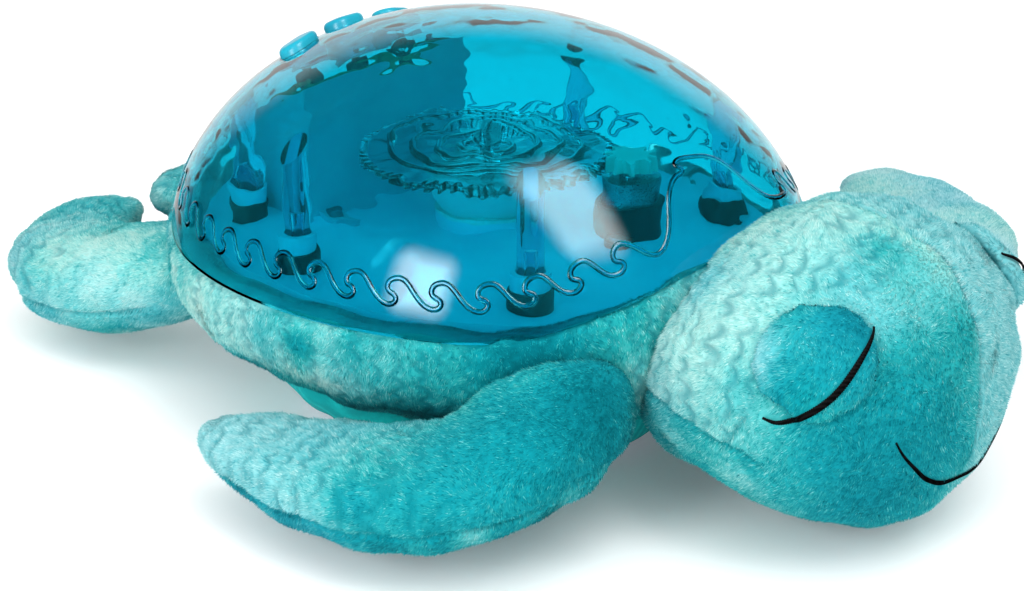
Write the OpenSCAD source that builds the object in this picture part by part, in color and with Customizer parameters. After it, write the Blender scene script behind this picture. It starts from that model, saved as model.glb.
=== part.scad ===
// Turtle night light projector: a clear domed shell on a stuffed sea turtle.
// The turtle faces -Y, +Z is up, and the origin is on the floor under the middle of the shell.

/* [Shell] */
// Width of the clear shell across the turtle
shell_w = 210; // [200:1:220]
// Length of the clear shell along the turtle
shell_l = 242; // [232:1:252]
// Height from the shell's widest plane to its top
shell_rise = 88; // [82:1:94]
// Height of the shell's widest plane above the floor
shell_mid = 55; // [53:1:57]
// Wall of the shell
shell_wall = 2.4; // [1.8:0.1:3]
// Height of the rim along the flanks
rim_z = 68; // [66:1:71]
// Half length of the level stretch of the rim
rim_level = 60; // [54:1:66]
// Radius of the rim's rise over the neck
rim_front_r = 75; // [70:1:85]
// Radius of the rim's rise over the tail
rim_rear_r = 148; // [130:1:180]

/* [Posts and screws] */
// Diameter of a screw post under the shell
post_d = 9; // [8:0.5:11]
// Wall of the deck's sleeve round a post
sleeve_wall = 1.8; // [1.2:0.1:2.4]
// Height of the sleeves above the deck
sleeve_h = 13; // [8:1:18]
// Distance of the posts from the deck's edge
post_inset = 14; // [12:0.5:18]
// Shank diameter of the housing screws
screw_d = 3; // [2.6:0.1:3.4]
// Head diameter of the housing screws
screw_head_d = 6; // [5:0.5:7]
// Length of a housing screw under its head
screw_l = 20; // [16:1:24]

/* [Housing] */
// Half width of the deck plate
deck_r = 92; // [88:1:95]
// Thickness of the deck plate
deck_t = 2.5; // [2:0.1:3.2]
// How far the deck's underside lies below the rim
deck_drop = 2; // [1.5:0.5:3]
// Wall of the bowl housing
bowl_wall = 2.5; // [2:0.1:3.2]
// Half width of the bowl at its foot
bowl_foot_r = 57; // [55:1:60]
// Half width of the bowl under its flange
bowl_top_r = 87; // [84:1:87]
// Height of the bowl's underside above the floor
bowl_z = 3.5; // [3:0.1:3.9]

/* [Light projector] */
// Radius of the round light board
light_board_r = 18; // [17:0.5:20]
// Height of the deck's seat ring under the light board
seat_h = 4; // [3.5:0.5:6]
// Thickness of the circuit boards
board_t = 1.6; // [1.2:0.2:2]
// Diameter of a light-emitting diode
led_d = 5; // [4:0.5:6]
// Distance of the diodes from the spindle
led_ring_r = 9; // [8:0.5:10]
// Mouth radius of the reflector cup
cup_r = 24; // [22:1:28]
// Height of the reflector cup
cup_h = 13; // [11:1:14]
// Diameter of the spindle that carries the wave disc
spindle_d = 3; // [2.5:0.25:4]
// Gear module of the disc's toothed rim and the pinion
gear_module = 1.5; // [1.4:0.1:1.6]
// Teeth on the wave disc
disc_teeth = 58; // [54:2:62]
// Teeth on the motor pinion
pinion_teeth = 10; // [10:1:12]
// Thickness of the wave disc
disc_t = 3; // [2.5:0.5:4]
// Ripple rings on the wave disc
disc_ripples = 4; // [3:1:5]
// Diameter of the motor
motor_d = 20; // [18:0.5:22]
// Bearing of the motor round the spindle
motor_bearing = -65; // [-75:1:-55]

/* [Buttons] */
// Length of a button across the turtle
button_l = 16; // [14:0.5:18]
// Width of a button along the turtle
button_w = 12; // [10:0.5:13]
// How far the buttons stand proud of the shell
button_proud = 3; // [2:0.5:4]
// Distance between neighbouring buttons
button_pitch = 25; // [23:0.5:26]
// Distance of the button row behind the shell's middle
button_back = 67; // [64:1:69]
// Travel of a button
button_travel = 1; // [0.6:0.1:1.2]

/* [Sound and power] */
// Diameter of the speaker
speaker_d = 50; // [45:1:52]
// Diameter of a battery cell
cell_d = 14.5; // [14:0.1:14.6]
// Length of a battery cell
cell_l = 50.5; // [49:0.5:51]
// Width of the main board
main_w = 70; // [66:1:76]
// Length of the main board
main_l = 50; // [48:1:56]
// Diameter of a lead inside the housing
lead_d = 2.6; // [2:0.2:3]

/* [Stuffed turtle] */
// Height of the seam between body and belly
seam_z = 26; // [24:1:28]
// Half width of the body at the belly seam
seam_r = 77; // [75:1:80]
// Half width of the belly's flat underside
belly_r = 52; // [46:1:54]
// How far the body's plush stands out past the shell
body_proud = 0.8; // [0.5:0.1:2]
// Length of the head from the neck station to the nose
head_l = 97; // [91:1:102]
// Width of the head
head_w = 129; // [121:1:132]
// Height of the head
head_h = 103; // [97:1:105]
// Height of the head's middle above the floor
head_z = 57; // [56:0.5:61]
// How far the nose dips, in degrees
head_pitch = 4; // [0:0.5:5]
// How far the neck station lies inside the shell's front
neck_tuck = 20; // [17:1:24]
// Length of the front flippers along their middle
front_l = 168; // [160:1:176]
// Greatest width of the front flippers
front_w = 63; // [57:1:66]
// Greatest thickness of the front flippers
front_t = 36; // [33:1:39]
// How far the left front flipper is swung forward, in degrees
front_left_turn = 38; // [33:1:44]
// How far the left front flipper is lifted at its elbow, in degrees
front_left_lift = 12; // [6:1:16]
// How much fuller the left front flipper is stuffed, as a share of its size
front_left_fill = 1.16; // [1.05:0.01:1.18]
// Length of the hind flippers along their middle
hind_l = 123; // [115:1:130]
// Greatest width of the hind flippers
hind_w = 57; // [51:1:60]
// Greatest thickness of the hind flippers
hind_t = 38; // [34:1:41]
// Length of a closed eyelid
lid_l = 40; // [36:1:43]
// Height of a closed eyelid
lid_h = 37; // [33:1:40]
// Depth of a closed eyelid, half of it sunk in the head
lid_t = 19; // [16:1:21]

/* [Clearances] */
// Gap between soft pieces, and between soft and hard pieces
soft_gap = 0.4; // [0.3:0.1:0.6]
// Radial clearance of a turning fit
run_gap = 0.05; // [0.03:0.01:0.08]
// Gap round a sliding or loose hard piece
slide_gap = 0.35; // [0.3:0.05:0.5]

/* [Hidden] */
$fn = 96;

// Cuts and pins run past the faces they break by this much
past = 1;
half_w = shell_w / 2;
half_l = shell_l / 2;
plan = shell_l / shell_w;
span = shell_l;

// Heights of the deck and of what stands on it
deck_z = rim_z - deck_drop;
deck_top = deck_z + deck_t;
flange_t = 3;
light_z = deck_top + seat_h;
cup_z = light_z + board_t;
disc_hub_z = cup_z + cup_h + 3;
disc_z = disc_hub_z + 3;
disc_hub_h = disc_t + 7;
disc_pitch_r = gear_module * disc_teeth / 2;
pinion_pitch_r = gear_module * pinion_teeth / 2;
mesh_gap = 0.15;
motor_spot = (disc_pitch_r + pinion_pitch_r + mesh_gap) * [cos(motor_bearing), sin(motor_bearing)];
motor_r = motor_d / 2;
motor_h = disc_z - deck_top - 2;

// Screw posts: bearings round the deck's oval, mirrored across the turtle
post_bearings = [-45, 12, 48];
post_r = post_d / 2;
sleeve_r = post_r + slide_gap + sleeve_wall;
tower_r = screw_head_d / 2 + slide_gap + 2;
screw_head_h = 2.4;
screw_seat_z = deck_z - 8;
function post_spot(i, side) =
  let (r = deck_r - post_inset)
  [side * r * cos(post_bearings[i]), r * plan * sin(post_bearings[i])];
post_spots = [for (i = [0:2], side = [-1, 1]) post_spot(i, side)];

// Button row: tilted with the shell's surface at the middle button
function shell_z(x, y, inset) =
  shell_mid + (shell_rise - inset) * sqrt(1 - pow(x / (half_w - inset), 2) - pow(y / (half_l - inset), 2));
button_top = shell_z(0, button_back, 0);
button_tilt = atan2(button_back / pow(half_l, 2), (button_top - shell_mid) / pow(shell_rise, 2));
function button_sink(x) =
  let (s = sin(button_tilt), c = cos(button_tilt), h = button_top - shell_mid)
  let (a = pow(s / half_l, 2) + pow(c / shell_rise, 2))
  let (b = button_back * s / pow(half_l, 2) + h * c / pow(shell_rise, 2))
  (b - sqrt(b * b - a * pow(x / half_w, 2))) / a;
button_flange = 1.5;
button_root = button_sink(button_pitch) + shell_wall + 4.2;
switch_h = 5;
switch_top = button_root + button_travel + 1.2;
button_board_top = switch_top + switch_h;
pod_top = button_board_top + board_t;
pod_w = 2 * button_pitch + 34;
pod_wall = 2.2;
pod_front = button_back - 21;
pod_rear = button_back + 7;
button_board_w = 2 * button_pitch + 28;
button_board_l = 18;

// Battery bay and its cover in the bowl's foot
floor_top = bowl_z + bowl_wall;
cell_gap = 0.6;
contact_room = 3;
contact_slack = 0.1;
bay_wall = 3;
bay_w = 3 * cell_d + 4 * cell_gap;
bay_l = cell_l + 2 * contact_room;
bay_h = cell_d + 1;
bay_y = 29;
bay_top = floor_top + bay_h + bay_wall;
cover_lip = 1.5;
cover_tab_r = 6;
cover_room = 2;
cover_boss_r = cover_tab_r + 2;
cover_tab_reach = bay_l / 2 + cover_boss_r;
cover_screw_d = 2.8;
cover_screw_l = 10;
cover_head_h = 1.2;
cover_boss_h = 14;

// Speaker under the front of the deck
speaker_y = -36;
speaker_r = speaker_d / 2;
speaker_rim_t = 2;
speaker_h = 17;

// Main board hung under the deck
main_y = 5;
peg_h = 10;
peg_r = 3;
peg_inset = 5;
main_z = deck_z - peg_h - board_t;
plug_h = 5;

// Body and belly: ellipsoids that meet at the seam
body_mid_r = half_w + body_proud;
body_sag = (shell_mid - seam_z) / sqrt(1 - pow(seam_r / body_mid_r, 2));
belly_top_r = seam_r - 1;
belly_sag = seam_z / sqrt(1 - pow(belly_r / belly_top_r, 2));

// Bowl: part of an ellipsoid through its foot and the underside of its flange
flange_z = deck_z - flange_t;
bowl_mid = deck_z + 54;
bowl_sag = sqrt(
  (pow((bowl_mid - bowl_z) * bowl_top_r, 2) - pow((bowl_mid - flange_z) * bowl_foot_r, 2))
  / (pow(bowl_top_r, 2) - pow(bowl_foot_r, 2))
);
bowl_mid_r = bowl_top_r / sqrt(1 - pow((bowl_mid - flange_z) / bowl_sag, 2));

// Small screws of the bracket, pod and boards
small_screw_d = 2.4;
small_head_d = 4.6;
small_head_h = 1.8;
small_screw_l = 7;
ear_reach = motor_r + 8;
ear_w = 8;
ear_t = 2.5;
bracket_wall = 2.2;
bracket_h = 12;
bracket_spots = [
  for (s = [-1, 1])
    motor_spot + s * ear_reach * [cos(motor_bearing + 90), sin(motor_bearing + 90)]
];
pod_ear = 9;
pod_spots = [for (s = [-1, 1]) [s * (pod_w / 2 - pod_ear), pod_front - pod_ear / 2]];
peg_spots = [
  for (x = [-1, 1], y = [-1, 1])
    [x * (main_w / 2 - peg_inset), main_y + y * (main_l / 2 - peg_inset)]
];

// Motor shaft and pinion
shaft_d = 2;
shaft_sink = 12;
pinion_t = disc_t + 1;

// Cells in the bay, middle one turned round
cell_x = [for (i = [-1:1]) i * (cell_d + cell_gap)];
cell_z = floor_top + cell_gap + cell_d / 2;
cell_nub = 1.4;
cell_nub_d = 5.4;

// Head: neck station, cross-section squareness and tapers
head_y = -(half_l - neck_tuck);
head_sides = 28;
head_rings = 16;
head_square = 1.95;
nose_blunt_w = 5.1;
nose_blunt_h = 6.5;
neck_narrow = 0.2;
neck_low = 0.37;
neck_reach = 0.52;
neck_drop = 10.5;
head_room_reach = 29;
head_room_side = 2.4;
head_room_l = head_l + 2 * head_room_reach;

// Flippers: headings from shoulder to tip, heights, and width and thickness shares along the middle
flipper_sides = 16;
flipper_rings = 18;
flipper_square = 2.2;
front_root_bearing = -58;
front_root_inset = 20;
front_shoulder_ring = 2;
front_headings = [196, 184, 157, 121, 101, 96, 92, 84];
front_heights = [48, 46, 39, 29, 26, 25, 26, 27];
front_width_shares = [0.45, 0.72, 0.92, 1, 0.97, 0.88, 0.76, 0.6];
front_thick_shares = [1.05, 1.12, 1.1, 1, 0.9, 0.8, 0.7, 0.55];
hind_root_bearing = 65;
hind_root_inset = 12;
hind_headings = [121, 111, 98, 76, 37, -3, -40];
hind_heights = [40, 34, 29, 27, 27, 31, 37];
hind_width_shares = [0.8, 0.92, 1, 1, 0.9, 0.76, 0.6];
hind_thick_shares = [1, 1, 1, 1, 0.92, 0.8, 0.62];

// Eyelids: place on the head and turn of the stuffed lid, on the turtle's right
lid_share = 0.69;
lid_bearing = 27;
lid_turn = [-17, 30, 24];
lid_sides = 24;

// Smooth curve through evenly spaced values, at a share t of its length
function along(v, t) =
  let (n = len(v) - 1, s = min(t * n, n - 0.0001), i = floor(s), f = s - i)
  let (a = v[max(i - 1, 0)], b = v[i], c = v[i + 1], d = v[min(i + 2, n)])
  0.5 * (2 * b + (c - a) * f + (2 * a - 5 * b + 4 * c - d) * f * f + (3 * b - a - 3 * c + d) * f * f * f);

// Point of a rounded cross-section at angle a
function section_point(a, w, up, down, square) =
  let (c = cos(a), s = sin(a))
  [w * sign(c) * pow(abs(c), 2 / square), (s > 0 ? up : down) * sign(s) * pow(abs(s), 2 / square)];

// Triangles of a closed loft: rings, then the root point and the tip point
function loft_faces(rings, sides) = [
  for (i = [0:rings - 2], j = [0:sides - 1])
    let (a = i * sides + j, b = i * sides + (j + 1) % sides)
    each [[a, b, b + sides], [a, b + sides, a + sides]],
  for (j = [0:sides - 1]) [rings * sides, (j + 1) % sides, j],
  for (j = [0:sides - 1])
    let (k = (rings - 1) * sides)
    [rings * sides + 1, k + j, k + (j + 1) % sides]
];

// Share along a loft of ring i, drawn closer together towards the tip
function ring_share(i, rings) = 1 - pow(1 - i / rings, 1.7);

// Tapers of the head at a share t from the neck to the nose
function neck_taper(t, amount) = 1 - amount * pow(max(0, 1 - t / neck_reach), 2);
function head_half_w(t) = head_w / 2 * neck_taper(t, neck_narrow) * sqrt(1 - pow(t, nose_blunt_w));
function head_half_h(t) = head_h / 2 * neck_taper(t, neck_low) * sqrt(1 - pow(t, nose_blunt_h));
function head_mid_z(t) =
  head_z - neck_drop * pow(max(0, 1 - t / neck_reach), 2) - tan(head_pitch) * head_l * (t - 0.5);
function head_point(t, a, grow) =
  let (h = head_half_h(t) + grow, p = section_point(a, head_half_w(t) + grow, h, h, head_square))
  [p.x, head_y - head_l * t, head_mid_z(t) + p.y];
function head_ring(t, grow) =
  [for (j = [0:head_sides - 1]) head_point(t, -360 * j / head_sides, grow)];

// Walk along a turning heading: the middle of a flipper in plan
function walk(k, steps, start, length, headings) = k <= 0
  ? start
  : let (a = along(headings, (k - 0.5) / steps))
    walk(k - 1, steps, start, length, headings) + length / steps * [cos(a), sin(a)];
function flipper_ring(k, start, length, width, thick, headings, heights, widths, thicks) =
  let (t = k / flipper_rings, a = along(headings, t), tip = sqrt(1 - pow(t, 5)))
  let (p = walk(k, flipper_rings, start, length, headings), z = along(heights, t))
  let (w = width / 2 * along(widths, t) * tip, h = thick / 2 * along(thicks, t) * tip)
  [
    for (j = [0:flipper_sides - 1])
      let (q = section_point(360 * j / flipper_sides, w, h, h, flipper_square))
      [p.x + sin(a) * q.x, p.y - cos(a) * q.x, z + q.y]
  ];

function root_spot(bearing, inset) =
  [-(half_w - inset) * cos(bearing), (half_l - inset) * sin(bearing)];
front_root = root_spot(front_root_bearing, front_root_inset);
front_shoulder = walk(front_shoulder_ring, flipper_rings, front_root, front_l, front_headings);
hind_root = root_spot(hind_root_bearing, hind_root_inset);

// Leads: points chosen by hand, each a round-number route from plug to terminal
plug_battery = [-20, 20];
plug_speaker = [-20, -10];
plug_button = [20, 20];
plug_motor = [20, -10];
plug_light = [9, 0];
plug_z = main_z - plug_h;
lead_gap = 0.2;
plug_end = plug_z - lead_gap;
lead_sides = 8;
lead_rings_per_step = 4;
battery_route = [
  [plug_battery.x, plug_battery.y, plug_end],
  [plug_battery.x, plug_battery.y, plug_z - 7],
  [-23, 30, 34],
  [-18, 40, 31],
  [-18, 40, bay_top + lead_gap]
];
speaker_route = [
  [plug_speaker.x, plug_speaker.y, plug_end],
  [plug_speaker.x, plug_speaker.y, plug_z - 7],
  [-20, -24, 34],
  [-8, -35, 31],
  [-8, speaker_y, floor_top + speaker_h + lead_gap]
];
motor_route = [
  [motor_spot.x, motor_spot.y, deck_top - lead_gap],
  [motor_spot.x, motor_spot.y, deck_z - 8],
  [24, -36, 46],
  [25, -22, 40],
  [plug_motor.x, plug_motor.y, plug_z - 7],
  [plug_motor.x, plug_motor.y, plug_end]
];
light_route = [
  [plug_light.x, plug_light.y, light_z - lead_gap],
  [plug_light.x, plug_light.y, deck_z],
  [plug_light.x, plug_light.y, main_z + board_t + plug_h + lead_gap]
];
function button_axis_point(depth) =
  [0, button_back - depth * sin(button_tilt), button_top - depth * cos(button_tilt)];
button_route = [
  button_axis_point(pod_top + lead_gap),
  button_axis_point(pod_top + 8),
  [0, 56, 88],
  [0, 56, deck_z],
  [8, 50, 48],
  [18, 34, 40],
  [plug_button.x, plug_button.y, plug_z - 7],
  [plug_button.x, plug_button.y, plug_end]
];

// Ring round a lead at a share t of its route
function lead_ring(route, t) =
  let (d = along(route, min(t + 0.01, 1)) - along(route, max(t - 0.01, 0)), u = d / norm(d))
  let (e = cross(u, [0.31, 0.95, 0.02]), side = e / norm(e), top = cross(u, side))
  [
    for (j = [0:lead_sides - 1])
      let (a = 360 * j / lead_sides)
      along(route, t) + lead_d / 2 * (cos(a) * side - sin(a) * top)
  ];

module lead(route) {
  rings = lead_rings_per_step * (len(route) - 1) + 1;
  points = [for (i = [0:rings - 1]) each lead_ring(route, i / (rings - 1))];
  ends = [route[0], route[len(route) - 1]];
  polyhedron(concat(points, ends), loft_faces(rings, lead_sides));
}

// Ellipsoid of the shell, drawn in by inset
module shell_blank(inset) {
  translate([0, 0, shell_mid])
    scale([half_w - inset, half_l - inset, shell_rise - inset])
      sphere(r = 1);
}

// Everything under the rim's curve, lowered by drop
module under_rim(drop) {
  low = rim_z - drop;
  rotate([90, 0, 90])
    linear_extrude(2 * span, center = true)
      difference() {
        translate([-span, -span])
          square([2 * span, span + low + 45]);
        translate([-rim_level, low])
          square([2 * rim_level, span]);
        translate([-rim_level, low + rim_front_r])
          circle(rim_front_r);
        translate([rim_level, low + rim_rear_r])
          circle(rim_rear_r);
      }
}

// Oval plate between two heights
module oval_plate(r, low, high) {
  translate([0, 0, low])
    linear_extrude(high - low)
      scale([1, plan])
        circle(r);
}

// Part of an ellipsoid about the middle axis, between two heights
module oval_part(mid_z, half_width, half_length, half_height, low, high) {
  intersection() {
    translate([0, 0, mid_z])
      scale([half_width, half_length, half_height])
        sphere(r = 1);
    translate([-span, -span, low])
      cube([2 * span, 2 * span, high - low]);
  }
}

// Flat outline with round ends along X
module capsule(length, width) {
  translate([-(length - width) / 2, 0])
    circle(d = width);
  translate([(length - width) / 2, 0])
    circle(d = width);
  square([length - width, width], center = true);
}

// Frame of the battery bay: +Y towards the cover's screw, to the turtle's left
module at_bay() {
  translate([0, bay_y, 0])
    rotate([0, 0, -90])
      children();
}

// Frame of the button row: +Z along the buttons' travel, origin on the shell at the middle button
module at_buttons() {
  translate([0, button_back, button_top])
    rotate([-button_tilt, 0, 0])
      children();
}

// Screw with its head below and its point upwards, seated at z = 0
module screw_up(shank_d, head_d, head_h, length) {
  translate([0, 0, -head_h])
    cylinder(d = head_d, h = head_h);
  cylinder(d = shank_d, h = length);
}

// Trapezoid spur gear outline
module gear_outline(teeth) {
  pitch_r = gear_module * teeth / 2;
  tip_r = pitch_r + gear_module * 0.9;
  root_r = pitch_r - gear_module * 1.2;
  turn = 360 / teeth;
  polygon([
    for (i = [0:teeth - 1], k = [[-0.33, root_r], [-0.1, tip_r], [0.1, tip_r], [0.33, root_r]])
      k[1] * [cos((i + k[0]) * turn), sin((i + k[0]) * turn)]
  ]);
}

// Clear shell with its button holes and screw posts
module shell_dome() {
  color("#1FA3BF", 0.6) {
    difference() {
      shell_blank(0);
      shell_blank(shell_wall);
      under_rim(0);
      at_buttons()
        for (x = [-button_pitch, 0, button_pitch])
          translate([x, 0, -button_root])
            linear_extrude(2 * button_root)
              capsule(button_l + 2 * slide_gap, button_w + 2 * slide_gap);
    }
    intersection() {
      shell_blank(shell_wall / 2);
      for (p = post_spots)
        translate([p.x, p.y, deck_top])
          difference() {
            cylinder(r = post_r, h = shell_rise);
            translate([0, 0, -past])
              cylinder(d = screw_d, h = screw_l + past);
          }
    }
  }
}

// Deck that closes the bowl and carries the projector
module deck_plate() {
  color("#DCE9EC")
    difference() {
      union() {
        oval_plate(deck_r, deck_z, deck_top);
        for (p = post_spots)
          translate([p.x, p.y, deck_top])
            cylinder(r = sleeve_r, h = sleeve_h);
        translate([0, 0, deck_top])
          difference() {
            cylinder(r = light_board_r, h = seat_h);
            translate([0, 0, -past])
              cylinder(r = light_board_r - 3, h = seat_h + 2 * past);
          }
        translate([0, 0, deck_z])
          cylinder(r = spindle_d / 2 + 2.5, h = deck_t + seat_h);
        for (p = peg_spots)
          translate([p.x, p.y, deck_z - peg_h])
            cylinder(r = peg_r, h = peg_h + past);
      }
      for (p = post_spots)
        translate([p.x, p.y, deck_top]) {
          cylinder(r = post_r + slide_gap, h = sleeve_h + past);
          translate([0, 0, -deck_t - past])
            cylinder(d = screw_d + 2 * slide_gap, h = deck_t + 2 * past);
        }
      translate([0, 0, deck_z - past])
        cylinder(d = spindle_d + 2 * run_gap, h = deck_t + seat_h + 2 * past);
      translate([plug_light.x, plug_light.y, deck_z - past])
        cylinder(d = lead_d + 1.4, h = deck_t + 2 * past);
      translate([motor_spot.x, motor_spot.y, deck_z - past])
        cylinder(d = lead_d + 4, h = deck_t + 2 * past);
      translate([0, button_route[3].y, deck_z - past])
        cylinder(d = lead_d + 4, h = deck_t + 2 * past);
      for (p = concat(bracket_spots, pod_spots))
        translate([p.x, p.y, deck_z - past])
          cylinder(d = small_screw_d + 2 * run_gap, h = deck_t + 2 * past);
      for (p = peg_spots)
        translate([p.x, p.y, deck_z - peg_h - past])
          cylinder(d = small_screw_d + 2 * run_gap, h = small_screw_l + past);
    }
}

// Outer shape of the bowl with its flange, let out by grow and run up to top
module bowl_blank(grow, top) {
  oval_part(
    bowl_mid, bowl_mid_r + grow, bowl_mid_r * plan + grow, bowl_sag + grow,
    bowl_z - grow, flange_z
  );
  oval_plate(deck_r + grow, flange_z - grow, top);
}

// Bowl housing inside the body: battery bay, speaker seat and screw towers
module base_bowl() {
  color("#C9D8DB")
    difference() {
      union() {
        difference() {
          bowl_blank(0, deck_z);
          oval_part(
            bowl_mid, bowl_mid_r - bowl_wall, bowl_mid_r * plan - bowl_wall, bowl_sag - bowl_wall,
            floor_top, deck_z + past
          );
        }
        intersection() {
          bowl_blank(0, deck_z);
          union() {
            for (p = post_spots)
              translate([p.x, p.y, bowl_z])
                cylinder(r = tower_r, h = deck_z - bowl_z);
            at_bay() {
              translate([-bay_w / 2 - bay_wall, -bay_l / 2 - bay_wall, floor_top - past])
                cube([bay_w + 2 * bay_wall, bay_l + 2 * bay_wall, bay_h + bay_wall + past]);
              translate([0, cover_tab_reach, floor_top - past])
                cylinder(r = cover_boss_r, h = cover_boss_h + past);
            }
          }
        }
        translate([0, speaker_y, floor_top - past])
          difference() {
            cylinder(r = speaker_r + slide_gap + 2, h = speaker_rim_t + past);
            cylinder(r = speaker_r + slide_gap, h = speaker_rim_t + 2 * past);
          }
      }
      at_bay() {
        translate([-bay_w / 2, -bay_l / 2, bowl_z - past])
          cube([bay_w, bay_l, bay_h + bowl_wall + past]);
        translate([0, 0, bowl_z - past])
          linear_extrude(bowl_wall + past)
            cover_outline(slide_gap);
        translate([0, cover_tab_reach, bowl_z])
          cylinder(d = cover_screw_d, h = cover_boss_h);
      }
      for (p = post_spots)
        translate([p.x, p.y, 0]) {
          cylinder(d = screw_head_d + 2 * slide_gap, h = screw_seat_z);
          cylinder(d = screw_d + 2 * slide_gap, h = deck_z + past);
        }
      for (a = [0:60:300])
        translate([speaker_r / 2 * cos(a), speaker_y + speaker_r / 2 * sin(a), bowl_z - past])
          cylinder(r = 3, h = bowl_wall + 2 * past);
    }
}

// Flat outline of the battery cover with its screw tab, let out by grow
module cover_outline(grow) {
  square([bay_w + 2 * cover_lip + 2 * grow, bay_l + 2 * cover_lip + 2 * grow], center = true);
  translate([0, cover_tab_reach])
    circle(r = cover_tab_r + grow);
  translate([-cover_tab_r - grow, 0])
    square([2 * (cover_tab_r + grow), cover_tab_reach]);
}

// Screws that pull the shell and the deck down onto the bowl
module housing_screws() {
  color("#8C9094")
    for (p = post_spots)
      translate([p.x, p.y, screw_seat_z])
        screw_up(screw_d - 2 * run_gap, screw_head_d, screw_head_h, screw_l);
}

// Round board of the light projector
module light_board() {
  color("#F2F4F2")
    translate([0, 0, light_z])
      difference() {
        cylinder(r = light_board_r, h = board_t);
        translate([0, 0, -past])
          cylinder(d = spindle_d + 2 * slide_gap, h = board_t + 2 * past);
      }
}

// Light-emitting diodes on the board
module light_diodes() {
  color("#F7F3DA")
    for (a = [90, 210, 330])
      translate([led_ring_r * cos(a), led_ring_r * sin(a), cup_z]) {
        cylinder(d = led_d, h = led_d / 2);
        translate([0, 0, led_d / 2])
          sphere(d = led_d);
      }
}

// Flared reflector round the diodes
module reflector_cup() {
  foot_r = light_board_r - 3;
  wall = 1.2;
  color("#F4F6F6")
    translate([0, 0, cup_z])
      rotate_extrude()
        polygon([[foot_r - wall, 0], [foot_r, 0], [cup_r, cup_h], [cup_r - wall, cup_h]]);
}

// Steel spindle with the collar that the wave disc turns on
module disc_spindle() {
  color("#B8BCC0") {
    translate([0, 0, deck_z])
      cylinder(d = spindle_d, h = disc_hub_z + disc_hub_h + 3 - deck_z);
    translate([0, 0, disc_hub_z - 2])
      cylinder(d = spindle_d + 3, h = 2 - run_gap);
  }
}

// Rippled clear disc with a toothed rim
module wave_disc() {
  ripple_step = (disc_pitch_r - 12) / disc_ripples;
  color("#BFEAF2", 0.7)
    difference() {
      union() {
        translate([0, 0, disc_z])
          rotate([0, 0, motor_bearing + 180 / disc_teeth])
            linear_extrude(disc_t)
              gear_outline(disc_teeth);
        translate([0, 0, disc_hub_z])
          cylinder(d = spindle_d + 6, h = disc_hub_h);
        for (i = [0:disc_ripples - 1])
          translate([0, 0, disc_z + disc_t])
            rotate_extrude()
              translate([10 + i * ripple_step, 0])
                circle(d = 3, $fn = 24);
      }
      translate([0, 0, disc_hub_z - past])
        cylinder(d = spindle_d + 2 * run_gap, h = disc_hub_h + 2 * past);
    }
}

// Push-on clip over the disc's hub
module spindle_clip() {
  color("#B8BCC0")
    translate([0, 0, disc_hub_z + disc_hub_h + run_gap])
      difference() {
        cylinder(d = spindle_d + 5, h = 1);
        translate([0, 0, -past])
          cylinder(d = spindle_d + 2 * run_gap, h = 1 + 2 * past);
      }
}

// Small motor standing on the deck
module drive_motor() {
  color("#A9ADB1")
    translate([motor_spot.x, motor_spot.y, deck_top])
      difference() {
        union() {
          cylinder(r = motor_r, h = motor_h - 1);
          cylinder(r = 3, h = motor_h);
        }
        translate([0, 0, motor_h - shaft_sink - past])
          cylinder(d = shaft_d + 2 * run_gap, h = shaft_sink + 2 * past);
      }
}

// Pinion and its shaft, in mesh with the disc's rim
module motor_pinion() {
  color("#F0EFE8")
    translate([motor_spot.x, motor_spot.y, 0]) {
      translate([0, 0, disc_z - 0.5])
        rotate([0, 0, motor_bearing + 180])
          linear_extrude(pinion_t)
            gear_outline(pinion_teeth);
      translate([0, 0, deck_top + motor_h - shaft_sink])
        cylinder(d = shaft_d, h = shaft_sink + 3);
    }
}

// Sleeve with two ears that holds the motor to the deck
module motor_bracket() {
  color("#2B3338")
    translate([motor_spot.x, motor_spot.y, deck_top])
      rotate([0, 0, motor_bearing + 90])
        difference() {
          union() {
            cylinder(r = motor_r + run_gap + bracket_wall, h = bracket_h);
            linear_extrude(ear_t)
              capsule(2 * ear_reach + ear_w, ear_w);
          }
          translate([0, 0, -past])
            cylinder(r = motor_r + run_gap, h = bracket_h + 2 * past);
          for (x = [-ear_reach, ear_reach])
            translate([x, 0, -past])
              cylinder(d = small_screw_d + 2 * run_gap, h = ear_t + 2 * past);
        }
}

// Small screws, heads up, seated at a height on each spot
module small_screws(spots, seat) {
  color("#8C9094")
    for (p = spots)
      translate([p.x, p.y, seat])
        rotate([180, 0, 0])
          screw_up(small_screw_d, small_head_d, small_head_h, small_screw_l);
}

module bracket_screws() {
  small_screws(bracket_spots, deck_top + ear_t);
}

module pod_screws() {
  small_screws(pod_spots, deck_top + ear_t);
}

// Pillar under the rear of the shell that carries the button board
module button_pod() {
  color("#3C8FA3")
    difference() {
      union() {
        translate([-pod_w / 2, pod_front, deck_top])
          cube([pod_w, pod_rear - pod_front, shell_rise]);
        for (p = pod_spots)
          translate([p.x - pod_ear / 2, p.y - pod_ear / 2, deck_top])
            cube([pod_ear, pod_ear + past, ear_t]);
      }
      at_buttons()
        translate([-span, -span, -pod_top])
          cube([2 * span, 2 * span, span]);
      difference() {
        translate([-pod_w / 2 + pod_wall, pod_front + pod_wall, deck_top - past])
          cube([pod_w - 2 * pod_wall, pod_rear - pod_front - 2 * pod_wall, shell_rise]);
        at_buttons()
          translate([-span, -span, -pod_top - pod_wall])
            cube([2 * span, 2 * span, span]);
      }
      at_buttons()
        translate([0, 0, -pod_top - 2 * pod_wall])
          cylinder(d = lead_d + 4, h = 3 * pod_wall);
      for (p = pod_spots)
        translate([p.x, p.y, deck_top - past])
          cylinder(d = small_screw_d + 2 * run_gap, h = ear_t + 2 * past);
    }
}

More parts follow.
